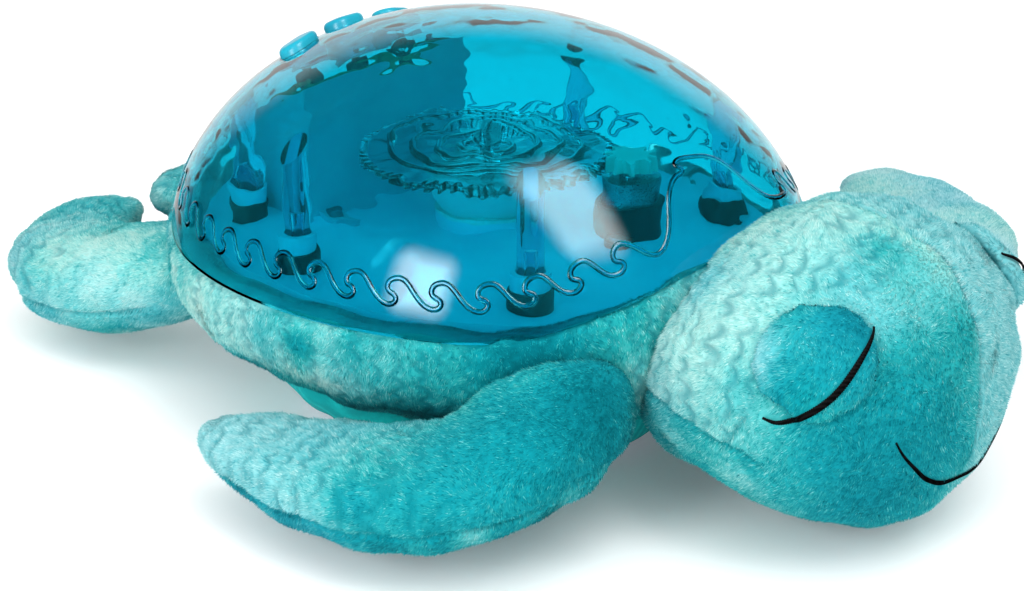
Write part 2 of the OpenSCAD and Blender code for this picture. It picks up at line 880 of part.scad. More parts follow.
module button_board() {
  color("#2E6B4A")
    at_buttons()
      translate([-button_board_w / 2, -button_board_l / 2, -pod_top])
        cube([button_board_w, button_board_l, board_t]);
}

// Three tact switches under the buttons
module tact_switches() {
  body_s = 6;
  body_h = 3.4;
  color("#2A2C2E")
    at_buttons()
      for (x = [-button_pitch, 0, button_pitch])
        translate([x, 0, -button_board_top]) {
          translate([-body_s / 2, -body_s / 2, 0])
            cube([body_s, body_s, body_h]);
          cylinder(d = 3.4, h = switch_h);
        }
}

// Push button at x in the row: domed cap, retaining flange and stem
module push_button(x) {
  color("#1593AC") {
    intersection() {
      shell_blank(-button_proud);
      at_buttons()
        translate([x, 0, -button_root])
          linear_extrude(2 * button_root)
            capsule(button_l, button_w);
    }
    intersection() {
      shell_blank(shell_wall + slide_gap);
      at_buttons()
        translate([x, 0, -button_root])
          linear_extrude(button_root)
            capsule(button_l + 2 * button_flange, button_w + 2 * button_flange);
    }
    at_buttons()
      translate([x, 0, -switch_top + button_travel + 0.2])
        cylinder(d = 4, h = switch_top - button_root);
  }
}

module button_light() {
  push_button(-button_pitch);
}

module button_sound() {
  push_button(0);
}

module button_volume() {
  push_button(button_pitch);
}

// Speaker basket with its magnet, seated on the bowl's floor
module speaker_frame() {
  wall = 1.2;
  magnet_r = 14;
  neck_z = 9;
  color("#3A3D40")
    translate([0, speaker_y, floor_top])
      rotate_extrude()
        polygon([
          [speaker_r - 4, 0],
          [speaker_r, 0],
          [speaker_r, speaker_rim_t],
          [speaker_r - 2, speaker_rim_t],
          [magnet_r, neck_z],
          [magnet_r, speaker_h],
          [0, speaker_h],
          [0, neck_z + wall],
          [magnet_r - wall, neck_z - wall],
          [speaker_r - 4, speaker_rim_t - wall]
        ]);
}

// Paper cone inside the basket
module speaker_cone() {
  color("#1E1F20")
    translate([0, speaker_y, floor_top])
      rotate_extrude()
        polygon([
          [speaker_r - 5.2, 0],
          [speaker_r - 4.1, 0],
          [speaker_r - 4.4, 0.7],
          [8, 6.2],
          [0, 6.2],
          [0, 5.4],
          [7.7, 5.4]
        ]);
}

// Main board hung under the deck
module main_board() {
  color("#2E6B4A")
    translate([0, main_y, main_z])
      difference() {
        translate([-main_w / 2, -main_l / 2, 0])
          cube([main_w, main_l, board_t]);
        for (p = peg_spots)
          translate([p.x, p.y - main_y, -past])
            cylinder(d = small_screw_d + 2 * run_gap, h = board_t + 2 * past);
      }
}

// Plugs, chip and capacitor on the main board
module board_parts() {
  plug_w = 8;
  plug_l = 6;
  color("#E8E6DC") {
    for (p = [plug_battery, plug_speaker, plug_button, plug_motor])
      translate([p.x - plug_w / 2, p.y - plug_l / 2, plug_z])
        cube([plug_w, plug_l, plug_h]);
    translate([plug_light.x - plug_w / 2, plug_light.y - plug_l / 2, main_z + board_t])
      cube([plug_w, plug_l, plug_h]);
    translate([-5, main_y - 5, main_z - 2])
      cube([10, 10, 2]);
    translate([-12, main_y + 14, main_z - 9])
      cylinder(d = 8, h = 9);
  }
}

module board_screws() {
  color("#8C9094")
    for (p = peg_spots)
      translate([p.x, p.y, main_z])
        screw_up(small_screw_d, small_head_d, small_head_h, small_screw_l);
}

// Battery cells side by side along the turtle
module battery_cells() {
  color("#6E7479")
    at_bay()
      for (i = [0:2])
        translate([cell_x[i], 0, cell_z])
          rotate([0, 0, i == 1 ? 180 : 0])
            rotate([-90, 0, 0])
              translate([0, 0, -cell_l / 2]) {
                cylinder(d = cell_d, h = cell_l - cell_nub);
                cylinder(d = cell_nub_d, h = cell_l);
              }
}

// Contact plates at both ends of the bay, each with a stud that meets a cell
module battery_contacts() {
  plate_t = 0.6;
  plate_s = 10;
  stud_d = 6;
  color("#C8B98A")
    at_bay()
      for (end = [-1, 1], i = [0:2])
        translate([cell_x[i], end * bay_l / 2, cell_z])
          rotate([end * 90, 0, 0]) {
            translate([-plate_s / 2, -plate_s / 2, 0])
              cube([plate_s, plate_s, plate_t]);
            cylinder(d = stud_d, h = contact_room - contact_slack);
          }
}

// Screwed cover of the battery bay
module battery_cover() {
  color("#C9D8DB")
    at_bay()
      difference() {
        translate([0, 0, bowl_z])
          linear_extrude(bowl_wall)
            cover_outline(0);
        translate([0, cover_tab_reach, bowl_z - past]) {
          cylinder(d = cover_screw_d + 2 * slide_gap, h = bowl_wall + 2 * past);
          cylinder(d = small_head_d + 2 * slide_gap, h = past + cover_head_h);
        }
      }
}

module cover_screw() {
  color("#8C9094")
    at_bay()
      translate([0, cover_tab_reach, bowl_z + cover_head_h])
        screw_up(cover_screw_d - 2 * run_gap, small_head_d, cover_head_h, cover_screw_l);
}

module battery_leads() {
  color("#B8332E")
    lead(battery_route);
}

module speaker_leads() {
  color("#2A2C2E")
    lead(speaker_route);
}

module motor_leads() {
  color("#2F5FA8")
    lead(motor_route);
}

module light_leads() {
  color("#D8D4C8")
    lead(light_route);
}

module button_leads() {
  color("#8A8F94")
    lead(button_route);
}

// Stuffed body without its hollow, let out by grow
module body_blank(grow) {
  r = body_mid_r + grow;
  r_long = half_l + body_proud + grow;
  oval_part(shell_mid, r, r_long, shell_rise + body_proud + grow, shell_mid, shell_mid + span);
  oval_part(shell_mid, r, r_long, body_sag + grow, seam_z - grow, shell_mid);
}

// Plain belly without its hollow, let out by grow
module belly_blank(grow) {
  oval_part(
    seam_z, belly_top_r + grow, belly_top_r * plan + grow, belly_sag + grow, 0, seam_z - soft_gap
  );
}

// Stuffed body ring from the belly seam up to the shell's rim
module plush_body() {
  color("#4DB8B5")
    difference() {
      intersection() {
        body_blank(0);
        under_rim(soft_gap);
      }
      bowl_blank(soft_gap, span);
    }
}

// Plain fabric belly that the turtle lies on
module belly_panel() {
  color("#12878F")
    difference() {
      belly_blank(0);
      bowl_blank(soft_gap, span);
      at_bay()
        translate([0, 0, -past])
          linear_extrude(bowl_z + past)
            cover_outline(cover_room);
    }
}

// Stuffed head blank, let out by grow
module head_blank(grow) {
  rings = [for (i = [0:head_rings - 1]) head_ring(ring_share(i, head_rings), grow)];
  ends = [
    [0, head_y, head_mid_z(0)],
    [0, head_y - head_l - grow, head_mid_z(1)]
  ];
  polyhedron(concat([for (r = rings) each r], ends), loft_faces(head_rings, head_sides));
}

module head() {
  color("#4DB8B5")
    difference() {
      head_blank(0);
      body_blank(soft_gap);
    }
}

// Stuffed lid over a closed eye, on the turtle's right
module lid_shape() {
  color("#5CC3BE")
    difference() {
      hull()
        translate(head_point(lid_share, 180 - lid_bearing, -lid_t / 6))
          rotate(lid_turn)
            scale([lid_t, lid_l, lid_h] / 2)
              sphere(r = 1, $fn = lid_sides);
      head_blank(soft_gap);
    }
}

module eyelid_right() {
  lid_shape();
}

module eyelid_left() {
  mirror([1, 0, 0])
    lid_shape();
}

// Stuffed flipper walked along its headings
module flipper(start, length, width, thick, headings, heights, widths, thicks) {
  rings = [
    for (k = [0:flipper_rings - 1])
      flipper_ring(k, start, length, width, thick, headings, heights, widths, thicks)
  ];
  tip = walk(flipper_rings, flipper_rings, start, length, headings);
  ends = [
    [start.x, start.y, heights[0]],
    [tip.x, tip.y, heights[len(heights) - 1]]
  ];
  polyhedron(concat([for (r = rings) each r], ends), loft_faces(flipper_rings, flipper_sides));
}

// Cuts a flipper where it is sewn to the body
module sewn_to_body() {
  color("#45AFAE")
    difference() {
      children();
      body_blank(soft_gap);
      belly_blank(soft_gap);
    }
}

// Rounded room round the back of the head, kept free by the front flippers
module head_room() {
  translate([0, head_y - head_l / 2, head_z])
    scale([head_w / 2 + head_room_side, head_room_l / 2, head_h / 2 + 2 * neck_drop])
      sphere(r = 1);
}

module front_flipper() {
  flipper(
    front_root, front_l, front_w, front_t,
    front_headings, front_heights, front_width_shares, front_thick_shares
  );
}

// Takes the room round the head out of a front flipper
module clear_of_head() {
  difference() {
    children();
    head_room();
  }
}

module hind_flipper() {
  flipper(
    hind_root, hind_l, hind_w, hind_t,
    hind_headings, hind_heights, hind_width_shares, hind_thick_shares
  );
}

module flipper_front_right() {
  sewn_to_body()
    clear_of_head()
      front_flipper();
}

// The left one is swung forward and lifted about its shoulder
module flipper_front_left() {
  pivot = [-front_shoulder.x, front_shoulder.y, front_heights[0]];
  sewn_to_body()
    clear_of_head()
      translate(pivot)
        rotate([0, -front_left_lift, -front_left_turn])
          scale(front_left_fill)
            translate(-pivot)
              mirror([1, 0, 0])
                front_flipper();
}

module flipper_hind_right() {
  sewn_to_body()
    hind_flipper();
}

module flipper_hind_left() {
  mirror([1, 0, 0])
    flipper_hind_right();
}

shell_dome();
deck_plate();
base_bowl();
housing_screws();
light_board();
light_diodes();
reflector_cup();
disc_spindle();
wave_disc();
spindle_clip();
drive_motor();
motor_pinion();
motor_bracket();
bracket_screws();
button_pod();
button_board();
tact_switches();
pod_screws();
button_light();
button_sound();
button_volume();
speaker_frame();
speaker_cone();
main_board();
board_parts();
board_screws();
battery_cells();
battery_contacts();
battery_cover();
cover_screw();
battery_leads();
speaker_leads();
motor_leads();
light_leads();
button_leads();
plush_body();
belly_panel();
head();
eyelid_right();
eyelid_left();
flipper_front_right();
flipper_front_left();
flipper_hind_right();
flipper_hind_left();
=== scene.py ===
"""Turtle night light projector: a plush sea turtle with a clear shell over a light projector.

Sizes are in millimetres in the size fields and in metres on Blender's objects.
The turtle faces -Y, +Z is up, and the origin is on the floor under the middle of the shell.
"""

import logging
import math
from dataclasses import dataclass, field
from enum import Enum

import bpy
import numpy as np
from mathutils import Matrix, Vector
from mathutils.bvhtree import BVHTree


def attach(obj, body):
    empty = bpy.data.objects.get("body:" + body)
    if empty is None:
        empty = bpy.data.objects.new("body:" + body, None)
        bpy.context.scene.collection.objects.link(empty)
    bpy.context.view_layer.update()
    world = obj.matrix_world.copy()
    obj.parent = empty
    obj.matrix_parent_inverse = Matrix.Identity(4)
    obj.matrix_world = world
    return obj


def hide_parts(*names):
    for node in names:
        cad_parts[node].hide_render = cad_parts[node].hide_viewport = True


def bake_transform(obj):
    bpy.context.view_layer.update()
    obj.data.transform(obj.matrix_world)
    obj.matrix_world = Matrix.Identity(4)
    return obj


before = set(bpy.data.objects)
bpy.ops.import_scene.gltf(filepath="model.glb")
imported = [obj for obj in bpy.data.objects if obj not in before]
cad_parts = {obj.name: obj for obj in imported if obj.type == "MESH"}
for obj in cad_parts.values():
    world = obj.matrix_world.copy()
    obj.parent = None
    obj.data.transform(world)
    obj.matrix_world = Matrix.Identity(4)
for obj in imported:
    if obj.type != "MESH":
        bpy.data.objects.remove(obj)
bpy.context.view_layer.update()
LOG = logging.getLogger("turtle")
MM = 0.001
ROOT_BODY = "turtle"
# Four triangles to a fibre keep each piece of pile under the export's 200,000 triangles
FIBRES_PER_PIECE = 48000
# Room in millimetres between the pile's roots and the next piece
PILE_ROOM = 1.2


class Side(Enum):
    """Side of the turtle, as the sign of X."""

    RIGHT = -1
    LEFT = 1


class Cover(Enum):
    """How a stuffed piece is covered."""

    SCALED = "embossed scales on the upper panel"
    PLAIN = "plain pile all round"


def linear(hex_colour: str) -> tuple[float, float, float, float]:
    """Turns an sRGB hex value to linear colour.

    Args:
        hex_colour: value such as "#3FB9B8".

    Returns:
        Red, green, blue and alpha.
    """
    parts = [int(hex_colour[i:i + 2], 16) / 255 for i in (1, 3, 5)]
    return (*(c / 12.92 if c <= 0.04045 else ((c + 0.055) / 1.055) ** 2.4 for c in parts), 1.0)


def add_node(
    tree: bpy.types.NodeTree,
    kind: str,
    links: dict | None = None,
    stops: list[tuple[float, str]] | None = None,
    **settings: object,
) -> bpy.types.Node:
    """Adds a shader node with its settings and links.

    Args:
        tree: node tree of a material or world.
        kind: Blender's type name of the node.
        links: socket name or number to a value or to another node's output.
        stops: places and hex colours of a colour ramp.
        settings: properties of the node.

    Returns:
        The new node.
    """
    node = tree.nodes.new(kind)
    for name, value in settings.items():
        setattr(node, name, value)
    for i, (place, colour) in enumerate(stops or []):
        marks = node.color_ramp.elements
        mark = marks[i] if i < 2 else marks.new(place)
        mark.position = place
        mark.color = linear(colour)
    for key, value in (links or {}).items():
        if isinstance(value, bpy.types.NodeSocket):
            tree.links.new(value, node.inputs[key])
        else:
            node.inputs[key].default_value = value
    return node


@dataclass(frozen=True)
class Finish:
    """A finish: the material's name, its record slot and how it is shaded."""

    name: str
    slot: str

    def material(self) -> bpy.types.Material:
        """Makes the material at its first use and hands it out again later.

        Returns:
            The material.
        """
        made = bpy.data.materials.get(self.name)
        if made is None:
            made = bpy.data.materials.new(self.name)
            made.use_nodes = True
            made.node_tree.nodes.clear()
            shader = self.shade(made.node_tree)
            add_node(made.node_tree, "ShaderNodeOutputMaterial", {"Surface": shader.outputs[0]})
        return made

    def shade(self, tree: bpy.types.NodeTree) -> bpy.types.Node:
        """Builds the shader, in each kind of finish its own way."""
        raise NotImplementedError

    def dress(self, piece: bpy.types.Object) -> bpy.types.Object:
        """Puts the finish on a new piece.

        Args:
            piece: a new object.

        Returns:
            The same object.
        """
        piece.data.materials.clear()
        piece.data.materials.append(self.material())
        return piece


@dataclass(frozen=True)
class MouldedPlastic(Finish):
    """Injection-moulded plastic: satin, with a faint spark-eroded grain and slow colour drift."""

    colour: str = "#D8E4E6"
    drift: str = "#C8D6D9"
    roughness: float = 0.42
    grain_mm: float = 0.8
    glow: float = 0.0

    def shade(self, tree: bpy.types.NodeTree) -> bpy.types.Node:
        """Grain in roughness and bump, and a slow drift of the colour.

        Args:
            tree: the material's nodes.

        Returns:
            The shader node.
        """
        place = add_node(tree, "ShaderNodeTexCoord").outputs["Object"]
        grain = add_node(
            tree, "ShaderNodeTexNoise",
            {"Vector": place, "Scale": 1 / (self.grain_mm * MM), "Detail": 3.0},
        ).outputs["Fac"]
        slow = add_node(
            tree, "ShaderNodeTexNoise", {"Vector": place, "Scale": 1 / (22 * MM), "Detail": 2.0}
        ).outputs["Fac"]
        colour = add_node(
            tree, "ShaderNodeValToRGB", {"Fac": slow}, [(0.35, self.colour), (0.7, self.drift)]
        )
        gloss = add_node(
            tree, "ShaderNodeMapRange",
            {"Value": grain, "To Min": self.roughness - 0.07, "To Max": self.roughness + 0.07},
        )
        bump = add_node(tree, "ShaderNodeBump", {"Height": grain, "Strength": 0.12, "Distance": 0.05 * MM})
        return add_node(
            tree, "ShaderNodeBsdfPrincipled",
            {
                "Base Color": colour.outputs["Color"], "Roughness": gloss.outputs["Result"],
                "Normal": bump.outputs["Normal"], "IOR": 1.53,
                "Emission Color": linear("#FFFFFF"), "Emission Strength": self.glow,
            },
        )


@dataclass(frozen=True)
class ClearPlastic(Finish):
    """Clear tinted polystyrene, polished in the mould: sharp reflections and faint flow waves."""

    tint: str = "#2AD7E9"
    roughness: float = 0.015
    ior: float = 1.5
    wave_mm: float = 26.0
    wave_strength: float = 0.05

    def shade(self, tree: bpy.types.NodeTree) -> bpy.types.Node:
        """Refraction with the tint of one wall, and flow waves in the polish.

        Args:
            tree: the material's nodes.

        Returns:
            The shader node.
        """
        place = add_node(tree, "ShaderNodeTexCoord").outputs["Object"]
        wave = add_node(
            tree, "ShaderNodeTexNoise",
            {"Vector": place, "Scale": 1 / (self.wave_mm * MM), "Detail": 1.0},
        ).outputs["Fac"]
        bump = add_node(
            tree, "ShaderNodeBump",
            {"Height": wave, "Strength": self.wave_strength, "Distance": 1.5 * MM},
        )
        return add_node(
            tree, "ShaderNodeBsdfPrincipled",
            {
                "Base Color": linear(self.tint), "Roughness": self.roughness, "IOR": self.ior,
                "Transmission Weight": 1.0, "Normal": bump.outputs["Normal"],
            },
        )


@dataclass(frozen=True)
class DrawnMetal(Finish):
    """Plated or drawn metal: bright, with fine draw lines in its roughness."""

    colour: str = "#9A9FA4"
    shade_colour: str = "#7C8187"
    roughness: float = 0.32
    line_mm: float = 0.6

    def shade(self, tree: bpy.types.NodeTree) -> bpy.types.Node:
        """Draw lines in roughness and a patchy plating colour.

        Args:
            tree: the material's nodes.

        Returns:
            The shader node.
        """
        place = add_node(tree, "ShaderNodeTexCoord").outputs["Object"]
        lines = add_node(
            tree, "ShaderNodeTexNoise",
            {"Vector": place, "Scale": 1 / (self.line_mm * MM), "Detail": 2.0},
        ).outputs["Fac"]
        patch = add_node(
            tree, "ShaderNodeTexNoise", {"Vector": place, "Scale": 1 / (6 * MM), "Detail": 2.0}
        ).outputs["Fac"]
        colour = add_node(
            tree, "ShaderNodeValToRGB", {"Fac": patch}, [(0.35, self.colour), (0.65, self.shade_colour)]
        )
        gloss = add_node(
            tree, "ShaderNodeMapRange",
            {"Value": lines, "To Min": self.roughness - 0.1, "To Max": self.roughness + 0.12},
        )
        return add_node(
            tree, "ShaderNodeBsdfPrincipled",
            {"Base Color": colour.outputs["Color"], "Roughness": gloss.outputs["Result"], "Metallic": 1.0},
        )


@dataclass(frozen=True)
class BoardLaminate(Finish):
    """Glass-fibre laminate under solder mask: even gloss with tracks showing as faint raised lines."""

    colour: str = "#1F6B45"
    track: str = "#2C8558"
    track_mm: float = 2.5

    def shade(self, tree: bpy.types.NodeTree) -> bpy.types.Node:
        """Tracks as cells of a square pattern, lighter and slightly raised.

        Args:
            tree: the material's nodes.

        Returns:
            The shader node.
        """
        place = add_node(tree, "ShaderNodeTexCoord").outputs["Object"]
        cells = add_node(
            tree, "ShaderNodeTexVoronoi",
            {"Vector": place, "Scale": 1 / (self.track_mm * MM), "Randomness": 0.6},
            distance="CHEBYCHEV",
        ).outputs["Distance"]
        colour = add_node(
            tree, "ShaderNodeValToRGB", {"Fac": cells}, [(0.3, self.colour), (0.5, self.track)]
        )
        bump = add_node(tree, "ShaderNodeBump", {"Height": cells, "Strength": 0.2, "Distance": 0.05 * MM})
        return add_node(
            tree, "ShaderNodeBsdfPrincipled",
            {
                "Base Color": colour.outputs["Color"], "Roughness": 0.35,
                "Normal": bump.outputs["Normal"], "IOR": 1.55,
            },
        )


@dataclass(frozen=True)
class PlushPile(Finish):
    """Short brushed polyester plush, tie-dyed: soft sheen, roots painted darker than tips as shade, dye in
    soft clouds.

    The dye's depth, its coolness, the embossing and each fibre's tone are stored on the mesh, the last two
    with painted shade.
    """

    dyes: tuple[str, ...] = ("#B2DED7", "#92D4CE", "#5DC0C0", "#28A8A8", "#0A939C", "#02707B")
    cool_dyes: tuple[str, ...] = ("#A6D7E0", "#70BECA", "#2598AC", "#067A91")

    def shade(self, tree: bpy.types.NodeTree) -> bpy.types.Node:
        """Dye ramp, cool shift, embossing with painted shade, and fibre tone with painted shade and light, in
        turn.

        Args:
            tree: the material's nodes.

        Returns:
            The shader node.
        """
        marks = {
            name: add_node(tree, "ShaderNodeAttribute", attribute_name=name).outputs["Fac"]
            for name in ("dye", "cool", "groove_and_shade", "tone")
        }
        place = add_node(tree, "ShaderNodeTexCoord").outputs["Object"]
        fluff = add_node(
            tree, "ShaderNodeTexNoise", {"Vector": place, "Scale": 1 / (2.4 * MM), "Detail": 4.0}
        ).outputs["Fac"]
        # Brushed pile parts into tufts a few millimetres wide, lighter and darker by turns
        tuft = add_node(
            tree, "ShaderNodeMapRange", {"Value": fluff, "To Min": -0.13, "To Max": 0.13}
        ).outputs["Result"]
        depth = add_node(tree, "ShaderNodeMath", {0: marks["dye"], 1: tuft}, operation="ADD").outputs[0]
        warm, cold = (
            add_node(
                tree, "ShaderNodeValToRGB", {"Fac": depth},
                [(i / (len(bath) - 1), colour) for i, colour in enumerate(bath)],
            ).outputs["Color"]
            for bath in (self.dyes, self.cool_dyes)
        )
        dyed = add_node(
            tree, "ShaderNodeMix", {0: marks["cool"], 6: warm, 7: cold}, data_type="RGBA"
        ).outputs[2]
        # Embossed lines, seams and creases are mixed towards the deepest dye: painted shade in the hollows
        hollow_shade = add_node(
            tree, "ShaderNodeMath", {0: marks["groove_and_shade"], 1: 0.62}, operation="MULTIPLY"
        ).outputs[0]
        embossed = add_node(
            tree, "ShaderNodeMix", {0: hollow_shade, 6: dyed, 7: linear(self.dyes[-1])}, data_type="RGBA"
        ).outputs[2]
        # Tone sets lightness: each fibre's own tone, plus painted shade at roots and under the pile and
        # painted light at tips
        light = add_node(
            tree, "ShaderNodeMapRange", {"Value": marks["tone"], "To Min": 0.6, "To Max": 1.4}
        ).outputs["Result"]
        toned = add_node(
            tree, "ShaderNodeHueSaturation", {"Color": embossed, "Value": light}
        ).outputs["Color"]
        return add_node(
            tree, "ShaderNodeBsdfPrincipled",
            {
                "Base Color": toned, "Roughness": 0.95, "IOR": 1.45, "Specular IOR Level": 0.03,
                "Sheen Weight": 0.04, "Sheen Roughness": 0.5, "Sheen Tint": linear("#9BE8E4"),
            },
        )


@dataclass(frozen=True)
class KnitCloth(Finish):
    """Brushed tricot knit: fine ribs, drawn four times coarser than life so that they show."""

    colour: str = "#12B4B3"
    shade_colour: str = "#0C9A9C"
    rib_mm: float = 1.6

    def shade(self, tree: bpy.types.NodeTree) -> bpy.types.Node:
        """Ribs as a wave with a noisy cross thread, their hollows painted darker as shade.

        Args:
            tree: the material's nodes.

        Returns:
            The shader node.
        """
        place = add_node(tree, "ShaderNodeTexCoord").outputs["Object"]
        ribs = add_node(
            tree, "ShaderNodeTexWave",
            {"Vector": place, "Scale": 1 / (6.28 * self.rib_mm * MM), "Distortion": 1.5, "Detail": 2.0},
        ).outputs["Fac"]
        cross = add_node(
            tree, "ShaderNodeTexNoise", {"Vector": place, "Scale": 1 / (self.rib_mm * MM), "Detail": 3.0}
        ).outputs["Fac"]
        both = add_node(tree, "ShaderNodeMath", {0: ribs, 1: cross}, operation="MULTIPLY").outputs[0]
        # The low parts of the ribs take shade_colour: painted shade in the hollows
        colour = add_node(
            tree, "ShaderNodeValToRGB", {"Fac": both}, [(0.1, self.shade_colour), (0.6, self.colour)]
        )
        bump = add_node(tree, "ShaderNodeBump", {"Height": both, "Strength": 0.35, "Distance": 0.3 * MM})
        return add_node(
            tree, "ShaderNodeBsdfPrincipled",
            {
                "Base Color": colour.outputs["Color"], "Roughness": 0.9, "Specular IOR Level": 0.05,
                "Sheen Weight": 0.03, "Normal": bump.outputs["Normal"],
            },
        )


@dataclass(frozen=True)
class SatinThread(Finish):
    """Black rayon embroidery thread in satin stitch: a soft shine across close slanted threads."""

    colour: str = "#030304"
    light: str = "#0D0D10"
    thread_mm: float = 0.45

    def shade(self, tree: bpy.types.NodeTree) -> bpy.types.Node:
        """Slanted threads in colour and bump, their raised crowns painted lighter as sheen.

        Args:
            tree: the material's nodes.

        Returns:
            The shader node.
        """
        place = add_node(tree, "ShaderNodeTexCoord").outputs["Object"]
        threads = add_node(
            tree, "ShaderNodeTexWave",
            {"Vector": place, "Scale": 1 / (6.28 * self.thread_mm * MM), "Distortion": 0.8},
            bands_direction="DIAGONAL",
        ).outputs["Fac"]
        # Raised thread crowns take the lighter colour: painted sheen
        colour = add_node(
            tree, "ShaderNodeValToRGB", {"Fac": threads}, [(0.3, self.colour), (0.9, self.light)]
        )
        bump = add_node(tree, "ShaderNodeBump", {"Height": threads, "Strength": 0.4, "Distance": 0.1 * MM})
        return add_node(
            tree, "ShaderNodeBsdfPrincipled",
            {
                "Base Color": colour.outputs["Color"], "Roughness": 0.65,
                "Normal": bump.outputs["Normal"], "Specular IOR Level": 0.12,
            },
        )


SHELL_CLEAR = ClearPlastic("polystyrene_clear_aqua", "clear_shell")
DISC_CLEAR = ClearPlastic("polystyrene_clear_disc", "disc_plastic", "#D8F4F6", 0.06, 1.5, 8.0, 0.2)
LENS_EPOXY = ClearPlastic("epoxy_cast_lens", "diode_lens", "#F4F2E4", 0.1, 1.5, 4.0, 0.1)
BUTTON_ABS = MouldedPlastic("abs_moulded_aqua_button", "button_cap", "#18A9C0", "#1296B0", 0.3, 0.6)
HOUSING_ABS = MouldedPlastic("abs_moulded_housing", "housing_plastic", "#DCE8F8", "#CFDDF0", 0.45)
POD_ABS = MouldedPlastic("abs_moulded_pod", "pod_plastic", "#A6CCDA", "#97BFCE", 0.45)
BRACKET_ABS = MouldedPlastic("abs_moulded_black", "bracket_plastic", "#15191C", "#1F2529", 0.5)
CUP_WHITE = MouldedPlastic("abs_moulded_white_reflector", "reflector_plastic", "#E6ECEC", "#D6DEDF", 0.3)
GEAR_ACETAL = MouldedPlastic("acetal_moulded_pinion", "pinion_plastic", "#ECEBE2", "#DFDDD0", 0.4, 0.6)
SWITCH_BLACK = MouldedPlastic("nylon_moulded_switch", "switch_plastic", "#1E2022", "#2A2D30", 0.5, 0.4)
PLUG_NYLON = MouldedPlastic("nylon_moulded_plug", "plug_nylon", "#E4E0D2", "#D6D1C0", 0.5, 0.4)
CELL_SLEEVE = MouldedPlastic("pvc_shrunk_sleeve", "cell_sleeve", "#4D5C66", "#3F4C55", 0.3, 1.2)
CONE_PAPER = MouldedPlastic("paper_pressed_cone", "cone_paper", "#1B1B1C", "#2A2A2B", 0.9, 0.5)
SCREW_STEEL = DrawnMetal("steel_zinc_plated", "screw_steel")
MOTOR_STEEL = DrawnMetal("steel_drawn_can", "motor_steel", "#B4B8BB", "#999DA1", 0.28)
SPEAKER_STEEL = DrawnMetal("steel_pressed_basket", "speaker_steel", "#4C4F52", "#3B3E41", 0.45)
CONTACT_BRASS = DrawnMetal("brass_nickel_plated", "contact_metal", "#C9BE9C", "#AFA37C", 0.3)
GREEN_BOARD = BoardLaminate("laminate_green_mask", "green_board")
WHITE_BOARD = BoardLaminate("laminate_white_mask", "white_board", "#E9ECEA", "#D9DEDB")
LEADS = {
    "battery_leads": MouldedPlastic("pvc_drawn_red", "red_lead", "#B3241F", "#9C1D19", 0.35, 0.7),
    "speaker_leads": MouldedPlastic("pvc_drawn_black", "black_lead", "#1C1D1F", "#28292B", 0.35, 0.7),
    "motor_leads": MouldedPlastic("pvc_drawn_blue", "blue_lead", "#2450A0", "#1D438A", 0.35, 0.7),
    "light_leads": MouldedPlastic("pvc_drawn_white", "white_lead", "#DEDACD", "#CFCABB", 0.35, 0.7),
    "button_leads": MouldedPlastic("pvc_drawn_grey", "grey_lead", "#82878C", "#73787D", 0.35, 0.7),
}
MOTTLED_PLUSH = PlushPile("polyester_plush_tie_dyed", "mottled_plush")
PLAIN_PLUSH = PlushPile("polyester_plush_plain", "plain_plush")
BELLY_KNIT = KnitCloth("polyester_tricot_brushed", "belly_cloth")
EYE_THREAD = SatinThread("rayon_satin_stitch", "embroidery_thread")

WORKS = {
    "deck_plate": HOUSING_ABS, "base_bowl": HOUSING_ABS, "housing_screws": SCREW_STEEL,
    "light_board": WHITE_BOARD, "light_diodes": LENS_EPOXY, "reflector_cup": CUP_WHITE,
    "disc_spindle": MOTOR_STEEL, "wave_disc": DISC_CLEAR, "spindle_clip": MOTOR_STEEL,
    "drive_motor": MOTOR_STEEL, "motor_pinion": GEAR_ACETAL, "motor_bracket": BRACKET_ABS,
    "bracket_screws": SCREW_STEEL, "button_pod": POD_ABS, "button_board": GREEN_BOARD,
    "tact_switches": SWITCH_BLACK, "pod_screws": SCREW_STEEL, "speaker_frame": SPEAKER_STEEL,
    "speaker_cone": CONE_PAPER, "main_board": GREEN_BOARD, "board_parts": PLUG_NYLON,
    "board_screws": SCREW_STEEL, "battery_cells": CELL_SLEEVE, "battery_contacts": CONTACT_BRASS,
    "battery_cover": HOUSING_ABS, "cover_screw": SCREW_STEEL, **LEADS,
}


def cloud(points: np.ndarray, wave_mm: float, seed: int, terms: int = 26) -> np.ndarray:
    """Smooth random field, the same at each run.

    Args:
        points: places in millimetres.
        wave_mm: mean wave length.
        seed: number of the field.
        terms: waves added up.

    Returns:
        One value per point, spread about 0 by about 1.
    """
    rng = np.random.default_rng(seed)
    waves = rng.normal(size=(terms, 3))
    pitch = 2 * math.pi / wave_mm * rng.uniform(0.6, 1.5, (terms, 1))
    waves *= pitch / np.linalg.norm(waves, axis=1)[:, None]
    shift = rng.uniform(0, 2 * math.pi, terms)
    return np.cos(points @ waves.T + shift).sum(1) * math.sqrt(2 / terms)


def ramp(x: np.ndarray, low: float, high: float) -> np.ndarray:
    """Smooth step from 0 at low to 1 at high."""
    t = np.clip((x - low) / (high - low), 0, 1)
    return t * t * (3 - 2 * t)


def unit(v: np.ndarray) -> np.ndarray:
    """Vectors at length 1."""
    return v / np.maximum(np.linalg.norm(v, axis=-1, keepdims=True), 1e-9)


def through(values: list, t: np.ndarray) -> np.ndarray:
    """Smooth curve through evenly spaced values.

    Args:
        values: numbers or points.
        t: shares of the curve's length.

    Returns:
        The curve at each share.
    """
    v = np.asarray(values, float)
    n = len(v) - 1
    s = np.clip(np.asarray(t, float) * n, 0, n - 1e-4)
    i = np.floor(s).astype(int)
    f = (s - i).reshape(s.shape + (1,) * (v.ndim - 1))
    a, b, c, d = v[np.maximum(i - 1, 0)], v[i], v[i + 1], v[np.minimum(i + 2, n)]
    return 0.5 * (2 * b + (c - a) * f + (2 * a - 5 * b + 4 * c - d) * f**2 + (3 * b - a - 3 * c + d) * f**3)


